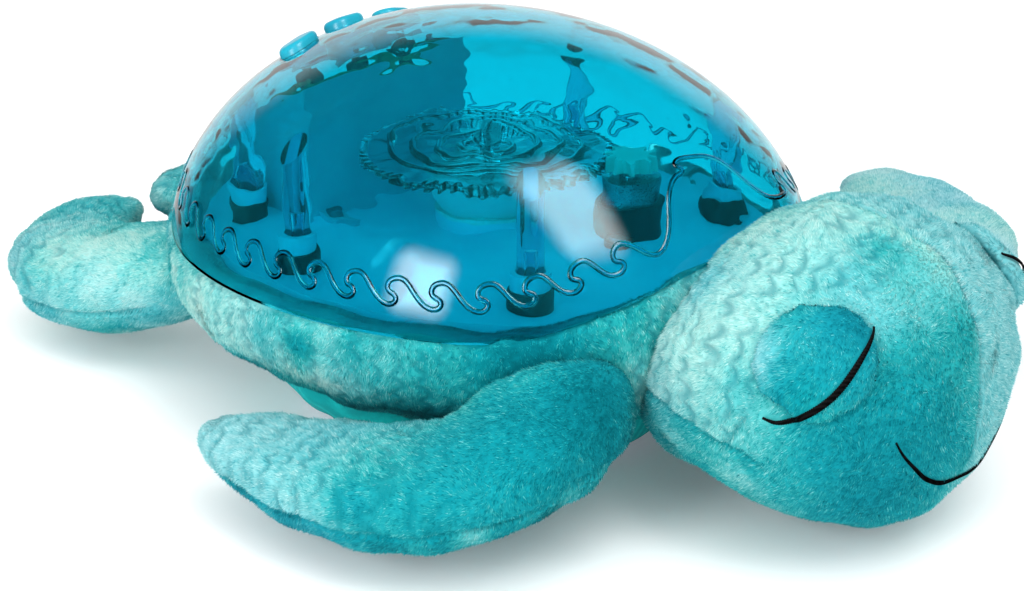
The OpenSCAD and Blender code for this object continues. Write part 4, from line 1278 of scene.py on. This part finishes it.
@dataclass
class ClearShell:
    """The clear shell: polished outside, rippled inside, with button holes and screw posts."""

    segments: int = 440
    rings: int = 88
    ripple_mm: float = 0.09
    ripple_wave: float = 22.0
    tuck: float = 2.0
    button_pitch: float = 25.0
    button_l: float = 16.0
    button_w: float = 12.0
    hole_gap: float = 0.35
    button_back: float = 67.0
    press: tuple[float, float, float] = (0.0, -0.435371, -0.900251)
    post_r: float = 4.5
    post_sides: int = 40
    post_foot: float = 68.5
    bore_r: float = 1.5
    bore_h: float = 20.0
    post_ring: float = 78.0
    post_bearings: tuple[float, ...] = (-45.0, 12.0, 48.0)

    def post_spots(self) -> list[tuple[float, float]]:
        """Places of the six posts."""
        stretch = SHELL.half_l / SHELL.half_w
        return [
            (side.value * self.post_ring * math.cos(bearing), self.post_ring * stretch * math.sin(bearing))
            for bearing in map(math.radians, self.post_bearings) for side in Side
        ]

    def button_frame(self) -> tuple[np.ndarray, np.ndarray, np.ndarray, np.ndarray]:
        """Frame of the middle button, on the shell's surface.

        Returns:
            The origin, and the axes across, along and out.
        """
        drop = math.sqrt(1 - (self.button_back / SHELL.half_l) ** 2)
        origin = np.array([0, self.button_back, SHELL.mid + SHELL.rise * drop])
        out = -np.array(self.press)
        across = np.array([1.0, 0, 0])
        return origin, across, np.cross(out, across), out

    def capsule(self, length: float, width: float, count: int = 48) -> np.ndarray:
        """Outline with round ends, against the clock.

        Args:
            length: length over the ends.
            width: width, and diameter of the ends.
            count: count of points.

        Returns:
            The points.
        """
        a = np.linspace(0, 2 * math.pi, count, endpoint=False)
        shift = np.where(np.cos(a) >= 0, 1, -1) * (length - width) / 2
        return np.stack([shift + width / 2 * np.cos(a), width / 2 * np.sin(a)], 1)

    def wall_points(self, inset: float, rippled: bool) -> np.ndarray:
        """Rings of one face of the wall from the rim to just under the top, then the top.

        Args:
            inset: how far the face lies inside the outer one.
            rippled: whether the face carries the ripples.

        Returns:
            The points, ring by ring.
        """
        theta = np.linspace(0, 2 * math.pi, self.segments, endpoint=False)
        # The wall's edge is tucked in under the plush
        rim = SHELL.rim_phi(theta, inset) + self.tuck / SHELL.half_w
        share = np.linspace(1, 0, self.rings, endpoint=False)
        th = np.tile(theta, self.rings)
        phi = (rim[None] * share[:, None]).ravel()
        flat = SHELL.at(th, phi, inset)
        if rippled:
            short = cloud(flat * [1, 1, 2.2], 0.55 * self.ripple_wave, 6)
            ripple = cloud(flat, self.ripple_wave, 5) + 0.35 * short
            calm = ramp(flat[:, 2] - SHELL.rim(flat[:, 1]), 1, 8)
            for x, y in self.post_spots():
                calm = calm * ramp(np.hypot(flat[:, 0] - x, flat[:, 1] - y), 5, 9)
            flat = SHELL.at(th, phi, inset + self.ripple_mm * calm * np.clip(ripple, -1.8, 1.8))
        top = SHELL.at(np.zeros(1), np.zeros(1), inset)
        return np.concatenate([flat, top])

    def build_wall(self) -> bpy.types.Object:
        """Makes the wall with its three button holes.

        Returns:
            The new object.
        """
        outer, inner = self.wall_points(0.0, False), self.wall_points(SHELL.wall, True)
        n = self.segments
        sheet = split_quads(grid_faces(self.rings, n))
        j = np.arange(n)
        last = (self.rings - 1) * n
        cap = np.stack([last + j, last + (j + 1) % n, np.full(n, len(outer) - 1)], 1)
        face = np.concatenate([sheet, cap])
        lip = split_quads(np.stack([j, j + len(outer), (j + 1) % n + len(outer), (j + 1) % n], 1))
        faces = np.concatenate([face, face[:, ::-1] + len(outer), lip])
        piece = make_piece("shell_clear", np.concatenate([outer, inner]), faces)
        origin, across, along, out = self.button_frame()
        line = self.capsule(self.button_l + 2 * self.hole_gap, self.button_w + 2 * self.hole_gap)
        points, tris = [], []
        for x in (-self.button_pitch, 0.0, self.button_pitch):
            for depth in (-20.0, 14.0):
                points.append(origin + (line[:, :1] + x) * across + line[:, 1:] * along + depth * out)
            m, start = len(line), 2 * len(line) * (len(points) // 2 - 1)
            k = np.arange(m)
            tris.append(start + split_quads(np.stack([k, (k + 1) % m, (k + 1) % m + m, k + m], 1)))
            fan = np.stack([np.zeros(m - 2, int), k[1:-1], k[2:]], 1)
            tris += [start + fan[:, ::-1], start + fan + m]
        cutter = make_piece("shell_cutter", np.concatenate(points), np.concatenate(tris))
        cut = piece.modifiers.new("holes", "BOOLEAN")
        cut.operation, cut.solver, cut.object = "DIFFERENCE", "EXACT", cutter
        done = bpy.data.meshes.new_from_object(piece.evaluated_get(bpy.context.evaluated_depsgraph_get()))
        piece.modifiers.clear()
        piece.data = done
        bpy.data.objects.remove(cutter)
        done.shade_smooth()
        done.set_sharp_from_angle(angle=math.radians(38))
        return piece

    def roof(self, x: np.ndarray, y: np.ndarray) -> np.ndarray:
        """Height of the posts' tops, just under the wall's inner face.

        Args:
            x: places across the turtle.
            y: places along the turtle.

        Returns:
            The height at each place.
        """
        inset = SHELL.wall + 0.05
        span = 1 - (x / (SHELL.half_w - inset)) ** 2 - (y / (SHELL.half_l - inset)) ** 2
        return SHELL.mid + (SHELL.rise - inset) * np.sqrt(span)

    def build_posts(self) -> bpy.types.Object:
        """Makes the six screw posts, each a tube under the shell's inner face.

        Returns:
            The new object.
        """
        points, tris = [], []
        m = self.post_sides
        ring = circle(m)
        for x, y in self.post_spots():
            start = sum(map(len, points))
            outer = np.array([x, y]) + self.post_r * ring
            bore = np.array([x, y]) + self.bore_r * ring
            foot = np.full(m, self.post_foot + 0.05)
            levels = [
                np.column_stack([bore, foot + self.bore_h]), np.column_stack([bore, foot]),
                np.column_stack([outer, foot]), np.column_stack([outer, self.roof(*outer.T)]),
            ]
            ends = [[x, y, self.post_foot + self.bore_h], [x, y, self.roof(x, y)]]
            points.append(np.concatenate([*levels, ends]))
            tris.append(start + capped_faces(len(levels), m))
        piece = make_piece("shell_posts", np.concatenate(points), np.concatenate(tris))
        piece.data.set_sharp_from_angle(angle=math.radians(38))
        return piece

    def build_cups(self) -> bpy.types.Object:
        """Makes the black cups round the feet of the posts.

        Returns:
            The new object.
        """
        profile = np.array([[6.72, 68.6], [7.5, 68.6], [7.5, 75.0], [7.2, 75.5], [6.72, 75.5]])
        m = self.post_sides
        size = m * len(profile)
        points, tris = [], []
        for i, spot in enumerate(self.post_spots()):
            for r, z in profile:
                points.append(np.column_stack([np.array(spot) + r * circle(m), np.full(m, z)]))
            tris.append(i * size + split_quads(grid_faces(len(profile) + 1, m) % size))
        piece = make_piece("post_cups", np.concatenate(points), np.concatenate(tris))
        piece.data.set_sharp_from_angle(angle=math.radians(50))
        return piece

    def build(self) -> list[bpy.types.Object]:
        """Makes the wall, the posts and the cups, dressed and in place.

        Returns:
            The new objects.
        """
        wall, posts, cups = self.build_wall(), self.build_posts(), self.build_cups()
        for piece, finish in ((wall, SHELL_CLEAR), (posts, SHELL_CLEAR), (cups, BRACKET_ABS)):
            finish.dress(piece)
            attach(piece, ROOT_BODY)
        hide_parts("shell_dome")
        return [wall, posts, cups]


@dataclass
class WaveScroll:
    """The raised running-wave line above the rim, with one tall wave over the front."""

    period: float = 15.0
    low: float = 8.6
    high: float = 17.3
    line_w: float = 0.95
    line_h: float = 0.3
    first_deg: float = -68.0
    last_deg: float = 239.8
    wave: tuple[tuple[float, float], ...] = (
        (0.0, 1.0), (0.16, 0.93), (0.31, 0.67), (0.46, 0.36), (0.62, 0.12), (0.8, 0.0), (0.93, 0.06),
        (1.0, 0.23), (0.93, 0.41), (0.81, 0.46), (0.755, 0.63), (0.81, 0.88),
    )
    front: tuple[tuple[float, float], ...] = (
        (239.8, 17.3), (242.2, 14.6), (244.4, 10.8), (246.5, 8.8), (248.5, 10.0), (250.2, 13.3),
        (251.6, 17.5), (253.3, 22.4), (255.5, 25.7), (258.0, 27.4), (260.2, 27.6), (260.9, 28.8),
        (259.7, 29.7), (259.6, 31.0), (261.8, 31.6), (265.0, 30.8), (270.1, 28.9), (273.3, 25.8),
        (275.4, 21.1), (277.8, 14.9), (281.3, 9.9), (285.4, 8.4), (288.6, 8.6), (291.2, 9.2),
        (292.0, 10.6), (291.2, 12.2), (290.3, 12.8), (290.1, 14.1), (290.6, 16.3),
    )

    def place(self, theta_deg: np.ndarray, above: np.ndarray) -> np.ndarray:
        """Points on the shell at bearings and distances above the rim, along the surface.

        Args:
            theta_deg: bearings in degrees.
            above: distances up the meridian.

        Returns:
            The points.
        """
        theta = np.radians(theta_deg)
        rim = SHELL.rim_phi(theta)
        level = np.hypot(SHELL.half_w * np.cos(theta), SHELL.half_l * np.sin(theta))
        speed = np.hypot(level * np.cos(rim), SHELL.rise * np.sin(rim))
        return SHELL.at(theta, rim - above / speed)

    def line(self) -> np.ndarray:
        """The whole line, closed on itself.

        Returns:
            Points on the shell, evenly spaced.
        """
        theta = np.linspace(self.first_deg, self.last_deg, 1200)
        rim = self.place(theta, np.full(len(theta), (self.low + self.high) / 2))
        way = distance_along(rim)
        waves = round(way[-1] / self.period)
        cell = np.array(self.wave)
        along = (np.arange(waves)[:, None] + cell[:, 0]).ravel() * way[-1] / waves
        height = np.tile(self.low + (self.high - self.low) * cell[:, 1], waves)
        marks = np.concatenate([np.stack([np.interp(along, way, theta), height], 1), self.front])
        marks = np.concatenate([marks, marks[:1] + [360.0, 0.0]])
        bend = through(marks, np.linspace(0, 1, 9 * len(marks)))[:-1]
        whole = self.place(bend[:, 0], bend[:, 1])
        ring = np.concatenate([whole, whole[:1]])
        reach = distance_along(ring)
        even = np.linspace(0, reach[-1], int(reach[-1] / 0.5), endpoint=False)
        smooth = resample(ring, reach, even)
        for _ in range(6):
            smooth = (np.roll(smooth, 1, 0) + 2 * smooth + np.roll(smooth, -1, 0)) / 4
        return smooth

    def build(self) -> bpy.types.Object:
        """Makes the line as a low rounded bead on the shell.

        Returns:
            The new object.
        """
        line = self.line()
        q = (line - [0, 0, SHELL.mid]) / [SHELL.half_w, SHELL.half_l, SHELL.rise]
        line = [0, 0, SHELL.mid] + (line - [0, 0, SHELL.mid]) / np.linalg.norm(q, axis=1)[:, None]
        a = np.linspace(0, math.pi, 13)
        section = np.stack([np.cos(a), 0.03 + 0.97 * np.sin(a) ** 1.6], 1)
        size = np.tile([self.line_w, self.line_h], (len(line), 1))
        piece = sweep("wave_scroll", line, SHELL.normal(line), section, size, True)
        SHELL_CLEAR.dress(piece)
        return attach(piece, ROOT_BODY)


@dataclass
class PushButton:
    """An oval push button: domed rounded cap, retaining flange and stem."""

    node: str
    body: str
    shift: float
    shell: ClearShell
    proud: float = 3.2
    round_mm: float = 1.9
    flange: float = 1.5
    depth: float = 10.2
    stem_r: float = 2.0
    stem_end: float = 10.95

    def skin(self, across: np.ndarray, along: np.ndarray, proud: float) -> np.ndarray:
        """How far out the shell's surface, let out by proud, lies over places in the button frame.

        Args:
            across: places across the turtle.
            along: places along the turtle.
            proud: how far the surface is let out.

        Returns:
            Distance along the travel for each place.
        """
        origin, ex, ey, out = self.shell.button_frame()
        axes = np.array([SHELL.half_w + proud, SHELL.half_l + proud, SHELL.rise + proud])
        p = (origin + across[:, None] * ex + along[:, None] * ey - [0, 0, SHELL.mid]) / axes
        d = out / axes
        a, b, c = d @ d, p @ d, (p * p).sum(1) - 1
        return (-b + np.sqrt(np.maximum(b * b - a * c, 0))) / a

    def build(self) -> bpy.types.Object:
        """Makes the button, dressed and in place.

        Returns:
            The new object.
        """
        origin, ex, ey, out = self.shell.button_frame()
        full = self.shell.capsule(self.shell.button_l, self.shell.button_w, 56)
        m = len(full)
        middle = np.array([self.shift, 0.0])
        rings = []

        def ring(outline: np.ndarray, level: np.ndarray) -> None:
            """Adds a ring at levels along the travel."""
            q = outline + middle
            rings.append(origin + q[:, :1] * ex + q[:, 1:] * ey + level[:, None] * out)

        def skin_ring(grow: float, proud: float) -> None:
            """Adds a ring that follows the shell's surface.

            Args:
                grow: how far the outline is let out.
                proud: how far the ring stands off the surface.
            """
            outline = self.shell.capsule(self.shell.button_l + 2 * grow, self.shell.button_w + 2 * grow, m)
            q = outline + middle
            ring(outline, self.skin(q[:, 0], q[:, 1], proud))

        stem = self.stem_r * circle(m)
        ring(stem, np.full(m, -self.stem_end))
        ring(stem, np.full(m, -self.depth))
        grow = 2 * self.flange
        wide = self.shell.capsule(self.shell.button_l + grow, self.shell.button_w + grow, m)
        ring(wide, np.full(m, -self.depth))
        skin_ring(self.flange, -SHELL.wall - 0.35)
        skin_ring(0.0, -SHELL.wall - 0.35)
        skin_ring(0.0, self.proud - self.round_mm)
        for angle in np.linspace(15, 90, 6):
            a = math.radians(angle)
            skin_ring(-self.round_mm * (1 - math.cos(a)), self.proud - self.round_mm * (1 - math.sin(a)))
        skin_ring(-0.4 * self.shell.button_w, self.proud + 0.25)
        points = np.concatenate(rings)
        ends = np.stack([rings[0].mean(0), rings[-1].mean(0)])
        tris = capped_faces(len(rings), m)
        piece = make_piece(self.node + "_cap", np.concatenate([points, ends]), tris)
        piece.data.set_sharp_from_angle(angle=math.radians(50))
        BUTTON_ABS.dress(piece)
        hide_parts(self.node)
        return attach(piece, self.body)


@dataclass
class Stitch:
    """A satin-stitched line on the plush: a flat band, thick in the middle and fine at its ends."""

    name: str
    marks: tuple[tuple[float, float, float], ...]
    way: tuple[float, float, float]
    width: float = 2.3
    height: float = 0.8
    lift: float = 0.9
    thread_mm: float = 0.7

    def lay(self, trees: list[BVHTree]) -> tuple[np.ndarray, np.ndarray]:
        """Lays the line on the outermost of some surfaces, coming in against its outward way.

        Args:
            trees: search trees of the pieces that may carry it.

        Returns:
            Places on the surface and its outward directions.
        """
        out = Vector(self.way).normalized()
        line, up = [], []
        for place in through(list(self.marks), np.linspace(0, 1, 160)):
            start = Vector(place) + 25 * out
            hits = [hit for hit in (tree.ray_cast(start, -out) for tree in trees) if hit[0] is not None]
            if hits:
                nearest = min(hits, key=lambda hit: hit[3])
                line.append(nearest[0])
                up.append(nearest[1])
        line, up = np.array(line), np.array(up)
        for _ in range(14):
            line[1:-1] = (line[:-2] + 2 * line[1:-1] + line[2:]) / 4
            up[1:-1] = unit((up[:-2] + 2 * up[1:-1] + up[2:]) / 4)
        return line, up

    def build(self, line: np.ndarray, up: np.ndarray) -> bpy.types.Object:
        """Makes the band with its slanted threads.

        Args:
            line: places on the surface.
            up: outward directions there.

        Returns:
            The new object.
        """
        length = distance_along(line)
        fine = np.linspace(0, length[-1], int(length[-1] / (self.thread_mm / 4)))
        line = resample(line, length, fine)
        up = unit(resample(up, length, fine))
        share = fine / length[-1]
        swell = 0.3 + 0.7 * np.sin(math.pi * np.clip(share, 0.02, 0.98)) ** 0.7
        rib = 1 + 0.1 * np.sin(2 * math.pi * fine / self.thread_mm)
        size = np.stack([self.width / 2 * swell * rib, self.height / 2 * (0.6 + 0.4 * swell) * rib], 1)
        piece = sweep(self.name, line + up * self.lift, up, circle(12), size, False)
        EYE_THREAD.dress(piece)
        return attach(piece, ROOT_BODY)


@dataclass
class Studio:
    """White floor and surround, softboxes, cards that are only mirrored, and the camera."""

    camera_mm: tuple[float, float, float] = (-603.0, -499.6, 353.9)
    target_mm: tuple[float, float, float] = (14.2, 0.2, 35.1)
    lens_mm: float = 82.28
    world: float = 0.94

    def light(
        self, name: str, way: tuple, reach: float, size: tuple, glow: float, aim: tuple,
        lights: bool, shiny: bool,
    ) -> None:
        """Hangs a softbox that the camera doesn't see, even in the middle and soft at its edge.

        Args:
            name: name of the light.
            way: direction from the aim to the light.
            reach: distance from the aim in metres.
            size: width and height in metres.
            glow: brightness of its middle, white being 1.
            aim: point that it faces, in millimetres.
            lights: whether it lights the turtle, and isn't just a card to be mirrored.
            shiny: whether it shows in reflections.
        """
        data = bpy.data.lights.new(name, "AREA")
        data.shape, data.size, data.size_y = "RECTANGLE", *size
        data.energy = glow * math.pi * size[0] * size[1]
        data.use_nodes = True
        tree = data.node_tree
        tree.nodes.clear()
        spot = add_node(tree, "ShaderNodeNewGeometry").outputs["Parametric"]
        # From the place on the box to how far it lies past the even middle
        for operation, other in (
            ("SUBTRACT", {1: (0.5, 0.5, 0.0)}), ("ABSOLUTE", {}), ("SUBTRACT", {1: (0.2, 0.2, 0.0)}),
            ("MAXIMUM", {1: (0.0, 0.0, 0.0)}),
        ):
            step = add_node(tree, "ShaderNodeVectorMath", {0: spot, **other}, operation=operation)
            spot = step.outputs["Vector"]
        off = add_node(tree, "ShaderNodeVectorMath", {0: spot}, operation="LENGTH").outputs["Value"]
        soft = add_node(
            tree, "ShaderNodeMapRange",
            {"Value": off, "From Min": 0.0, "From Max": 0.28, "To Min": 1.0, "To Max": 0.0},
            interpolation_type="SMOOTHSTEP",
        ).outputs["Result"]
        lit = add_node(tree, "ShaderNodeEmission", {"Strength": soft})
        add_node(tree, "ShaderNodeOutputLight", {"Surface": lit.outputs[0]})
        lamp = bpy.data.objects.new(name, data)
        lamp.visible_glossy = shiny
        lamp.visible_diffuse = lamp.visible_transmission = lights
        out = Vector(way).normalized()
        lamp.location = Vector(aim) * MM + out * reach
        lamp.rotation_euler = out.to_track_quat("Z", "Y").to_euler()
        lamp.visible_camera = False
        bpy.context.scene.collection.objects.link(lamp)

    def build(self) -> None:
        """Sets up the floor, the light and the camera."""
        scene = bpy.context.scene
        scene.view_settings.view_transform = "Standard"
        world = bpy.data.worlds.new("white_surround")
        world.use_nodes = True
        world.node_tree.nodes.clear()
        glow = add_node(
            world.node_tree, "ShaderNodeBackground", {"Color": linear("#FFFFFF"), "Strength": self.world}
        )
        add_node(world.node_tree, "ShaderNodeOutputWorld", {"Surface": glow.outputs[0]})
        # The shell mirrors a dark studio with its softboxes and cards, not the white surround
        world.cycles_visibility.glossy = False
        scene.world = world
        half = 6000.0
        corners = np.array([[-half, -half, 0], [half, -half, 0], [half, half, 0], [-half, half, 0]])
        floor = make_piece("studio_floor", corners, np.array([[0, 1, 2, 3]]))
        paper = MouldedPlastic(
            "paper_white_backdrop", "housing_plastic", "#FFFFFF", "#FCFCFC", 0.8, 1.5, glow=0.06
        )
        floor.data.materials.append(paper.material())
        floor.visible_glossy = False
        self.light("softbox_left", (-0.93, -0.03, 0.36), 1.1, (0.5, 0.8), 10, (-90, -47, 83), True, True)
        self.light("softbox_right", (-0.16, -0.46, 0.87), 1.1, (0.62, 1.15), 4.4, (-53, -80, 104), True, True)
        self.light("card_right", (-0.16, -0.46, 0.87), 1.09, (0.62, 1.15), 3.6, (-53, -80, 104), False, True)
        self.light("softbox_top", (-0.4, -0.2, 1.0), 1.6, (1.8, 1.8), 1.0, (0, 0, 60), True, False)
        self.light("softbox_front", (-0.5, -0.8, 0.6), 1.5, (1.6, 1.1), 1.2, (0, -60, 40), True, False)
        self.light("card_behind", (0.76, 0.63, 0.06), 1.5, (3.2, 2.0), 1.0, (0, 0, 100), False, True)
        lens = bpy.data.cameras.new("photo_camera")
        lens.lens, lens.sensor_width = self.lens_mm, 36.0
        lens.clip_start, lens.clip_end = 0.01, 50
        camera = bpy.data.objects.new("photo_camera", lens)
        place = Vector(self.camera_mm) * MM
        camera.location = place
        camera.rotation_euler = (place - Vector(self.target_mm) * MM).to_track_quat("Z", "Y").to_euler()
        scene.collection.objects.link(camera)
        scene.camera = camera


def mirrored(marks: tuple) -> tuple:
    """Points on the turtle's other side."""
    return tuple((-x, y, z) for x, y, z in marks)


FRONT = dict(
    length=168.0, width=63.0, thick=36.0, root=(-45.04, -85.65),
    headings=(196, 184, 157, 121, 101, 96, 92, 84), heights=(48, 46, 39, 29, 26, 25, 26, 27),
    widths=(0.45, 0.72, 0.92, 1, 0.97, 0.88, 0.76, 0.6), thicks=(1.05, 1.12, 1.1, 1, 0.9, 0.8, 0.7, 0.55),
)
HIND = dict(
    length=123.0, width=57.0, thick=38.0, root=(-39.3, 98.79),
    headings=(121, 111, 98, 76, 37, -3, -40), heights=(40, 34, 29, 27, 27, 31, 37),
    widths=(0.8, 0.92, 1, 1, 0.9, 0.76, 0.6), thicks=(1, 1, 1, 1, 0.92, 0.8, 0.62),
)
RIGHT_EYE = (
    (-61.7, -158.1, 59.6), (-60.9, -162.3, 58.9), (-61.2, -168.0, 61.5), (-60.9, -173.1, 64.9),
    (-59.0, -176.8, 68.4), (-56.7, -179.4, 71.9), (-53.6, -181.4, 76.1), (-49.0, -182.5, 81.1),
    (-44.3, -182.3, 84.9), (-39.8, -180.4, 86.9),
)
RIGHT_MOUTH = (
    (-37.7, -190.1, 51.8), (-34.9, -191.0, 46.9), (-30.8, -192.0, 42.0), (-24.0, -192.7, 35.9),
    (-15.6, -193.1, 30.9), (-7.4, -193.4, 28.4),
)
# The head lies over to its left by a few degrees, so the mouth's left half sits lower
MOUTH = (*RIGHT_MOUTH, (0.0, -193.4, 27.4), *((-x, y, z + 0.24 * x) for x, y, z in RIGHT_MOUTH[::-1]))


def stuffed_pieces() -> list[StuffedPiece]:
    """The stuffed turtle's pieces with their dyes.

    Returns:
        The body ring, head, lids and flippers.
    """
    head = Head(
        "head_plush", "head", ROOT_BODY, dye=0.24, cool=0.15, seed=21, dye_spread=0.12, under_dye_and_shade=0.58,
        patches=(
            DyeAndShadePatch((-55, -129, 78), 30, 0.1, 0.05), DyeAndShadePatch((-19, -141, 105), 26, 0.14, 0.1),
            DyeAndShadePatch((-39, -120, 87), 10, 0.36, 0.6), DyeAndShadePatch((-62, -149, 66), 10, 0.34, 0.1),
            DyeAndShadePatch((-30, -198, 58), 34, 0.76, 0.1), DyeAndShadePatch((-52, -182, 56), 24, 0.82, 0.15),
            DyeAndShadePatch((-40, -184, 30), 34, 0.9, 0.3), DyeAndShadePatch((-10, -194, 77), 12, 0.68, 0.1),
            DyeAndShadePatch((-16, -170, 102), 8, 0.62, 0.1), DyeAndShadePatch((-21, -178, 96), 11, 0.46, 0.1),
            DyeAndShadePatch((-54, -160, 33), 12, 0.66, 0.2), DyeAndShadePatch((0, -150, 6), 36, 0.9, 0.3),
            DyeAndShadePatch((34, -175, 70), 75, 0.27, 0.6, Side.LEFT),
        ),
    )
    lids = [
        Eyelid(
            f"lid_{side.name.lower()}_plush", f"eyelid_{side.name.lower()}", ROOT_BODY,
            voxel_mm=2.4, rounding=6, dye=0.68, cool=0.3, seed=31, dye_spread=0.08, pile_mm=1.6,
            cover=Cover.PLAIN, head=head,
            patches=(
                DyeAndShadePatch((-43, -178, 90), 14, 0.95, 0.5), DyeAndShadePatch((-52, -182, 76), 10, 0.8, 0.3),
                DyeAndShadePatch((-58, -152, 76), 10, 0.22, 0.7), DyeAndShadePatch((50, -170, 78), 60, 0.3, 0.6, Side.LEFT),
            ),
        )
        for side in Side
    ]
    flippers = [
        Flipper(
            "flipper_front_right_plush", "flipper_front_right", "front_right_flipper",
            dye=0.5, cool=0.4, seed=41, dye_spread=0.1, under_dye_and_shade=0.75,
            patches=(
                DyeAndShadePatch((-132, 6, 34), 52, 0.2, 0.65), DyeAndShadePatch((-136, -88, 34), 22, 0.72, 0.15),
                # The second patch here, full depth at the shoulder under the shell's rim, is painted shadow
                # of the rim
                DyeAndShadePatch((-115, -106, 45), 30, 0.86, 0.1), DyeAndShadePatch((-84, -106, 58), 30, 1.0, 0.1),
                DyeAndShadePatch((-86, -86, 63), 12, 0.68, 0.1), DyeAndShadePatch((-143, -65, 32), 8, 0.8, 0.3),
                DyeAndShadePatch((-130, -104, 16), 34, 0.74, 0.2),
            ),
            bend=((-0.074, -0.09, 0.05), (-0.104, -0.09, 0.04)), side=Side.RIGHT, **FRONT,
        ),
        Flipper(
            "flipper_front_left_plush", "flipper_front_left", "front_left_flipper",
            dye=0.15, cool=0.65, seed=51, dye_spread=0.06, cover=Cover.PLAIN,
            turn_deg=38.0, lift_deg=12.0, size=1.16,
            bend=((0.074, -0.09, 0.05), (0.104, -0.09, 0.04)), side=Side.LEFT, **FRONT,
        ),
        *(
            Flipper(
                f"flipper_hind_{side.name.lower()}_plush", f"flipper_hind_{side.name.lower()}",
                f"hind_{side.name.lower()}_flipper",
                dye=0.29, cool=0.25, seed=61, dye_spread=0.13, under_dye_and_shade=0.45,
                patches=(DyeAndShadePatch((side.value * 21, 172, 44), 14, 0.55, 0.3),),
                bend=((side.value * 0.042, 0.112, 0.04), (side.value * 0.046, 0.142, 0.035)),
                side=side, **HIND,
            )
            for side in Side
        ),
    ]
    body = BodyRing(
        "body_plush", "plush_body", ROOT_BODY, voxel_mm=3.8, rounding=4,
        dye=0.28, cool=0.12, seed=71, dye_spread=0.24,
        patches=(
            DyeAndShadePatch((-106, -7, 57), 7, 0.95, 0.1), DyeAndShadePatch((-98, -45, 60), 26, 0.46, 0.1),
            # The first patch here, full depth under the shell's rim at the front right, is painted shadow of
            # the rim
            DyeAndShadePatch((-79, -82, 64), 32, 1.0, 0.15), DyeAndShadePatch((-104, 30, 50), 24, 0.2, 0.1),
        ),
    )
    return [head, *lids, *flippers, body]


def main() -> None:
    """Builds the studio, the works, the shell, the stuffed turtle and its stitching in order."""
    logging.basicConfig(level=logging.INFO, format="%(name)s: %(message)s")
    Studio().build()
    for node, finish in WORKS.items():
        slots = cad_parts[node].data.materials
        slots.clear()
        slots.append(finish.material())
        LOG.info("works: %s in %s", node, finish.name)
    shell = ClearShell()
    for piece in shell.build():
        LOG.info("shell: %s", piece.name)
    LOG.info("shell: %s", WaveScroll().build().name)
    for node, body, shift in (
        ("button_light", "light_button", -shell.button_pitch), ("button_sound", "sound_button", 0.0),
        ("button_volume", "volume_button", shell.button_pitch),
    ):
        LOG.info("button: %s", PushButton(node, body, shift, shell).build().name)
    pieces = stuffed_pieces()
    belly = Belly(
        "belly_cloth", "belly_panel", ROOT_BODY, voxel_mm=3.6, rounding=3, fill=0.5,
        cover=Cover.PLAIN, seed=81,
    )
    for piece in (*pieces, belly):
        piece.swell()
        piece.emboss()
    head, lid_right, lid_left = pieces[:3]
    head.crease([lid_right, lid_left])
    for lid in (lid_right, lid_left):
        lid.crease([head])
    for piece in (*pieces, belly):
        LOG.info("stuffed: %s, %d points", piece.build().name, len(piece.points))
    right_way, left_way = (-0.79, -0.47, 0.4), (0.79, -0.47, 0.4)
    stitches = (
        (Stitch("eye_stitch_right", RIGHT_EYE, right_way), [head.surface(), lid_right.surface()]),
        (Stitch("eye_stitch_left", mirrored(RIGHT_EYE), left_way), [head.surface(), lid_left.surface()]),
        (Stitch("mouth_stitch", MOUTH, (0.0, -1.0, -0.1), 1.7, lift=0.6), [head.surface()]),
    )
    keep_off = []
    for stitch, carriers in stitches:
        line, up = stitch.lay(carriers)
        LOG.info("stitch: %s", stitch.build(line, up).name)
        keep_off.append((line[::4], stitch.width / 2 + 0.6))
    for piece in pieces:
        neighbours = [other for other in pieces if other is not piece]
        for pile in piece.grow_pile(keep_off if piece in pieces[:3] else [], neighbours):
            LOG.info("pile: %s, %d fibres", pile.name, len(pile.data.polygons) // 4)


if __name__ == "__main__":
    main()
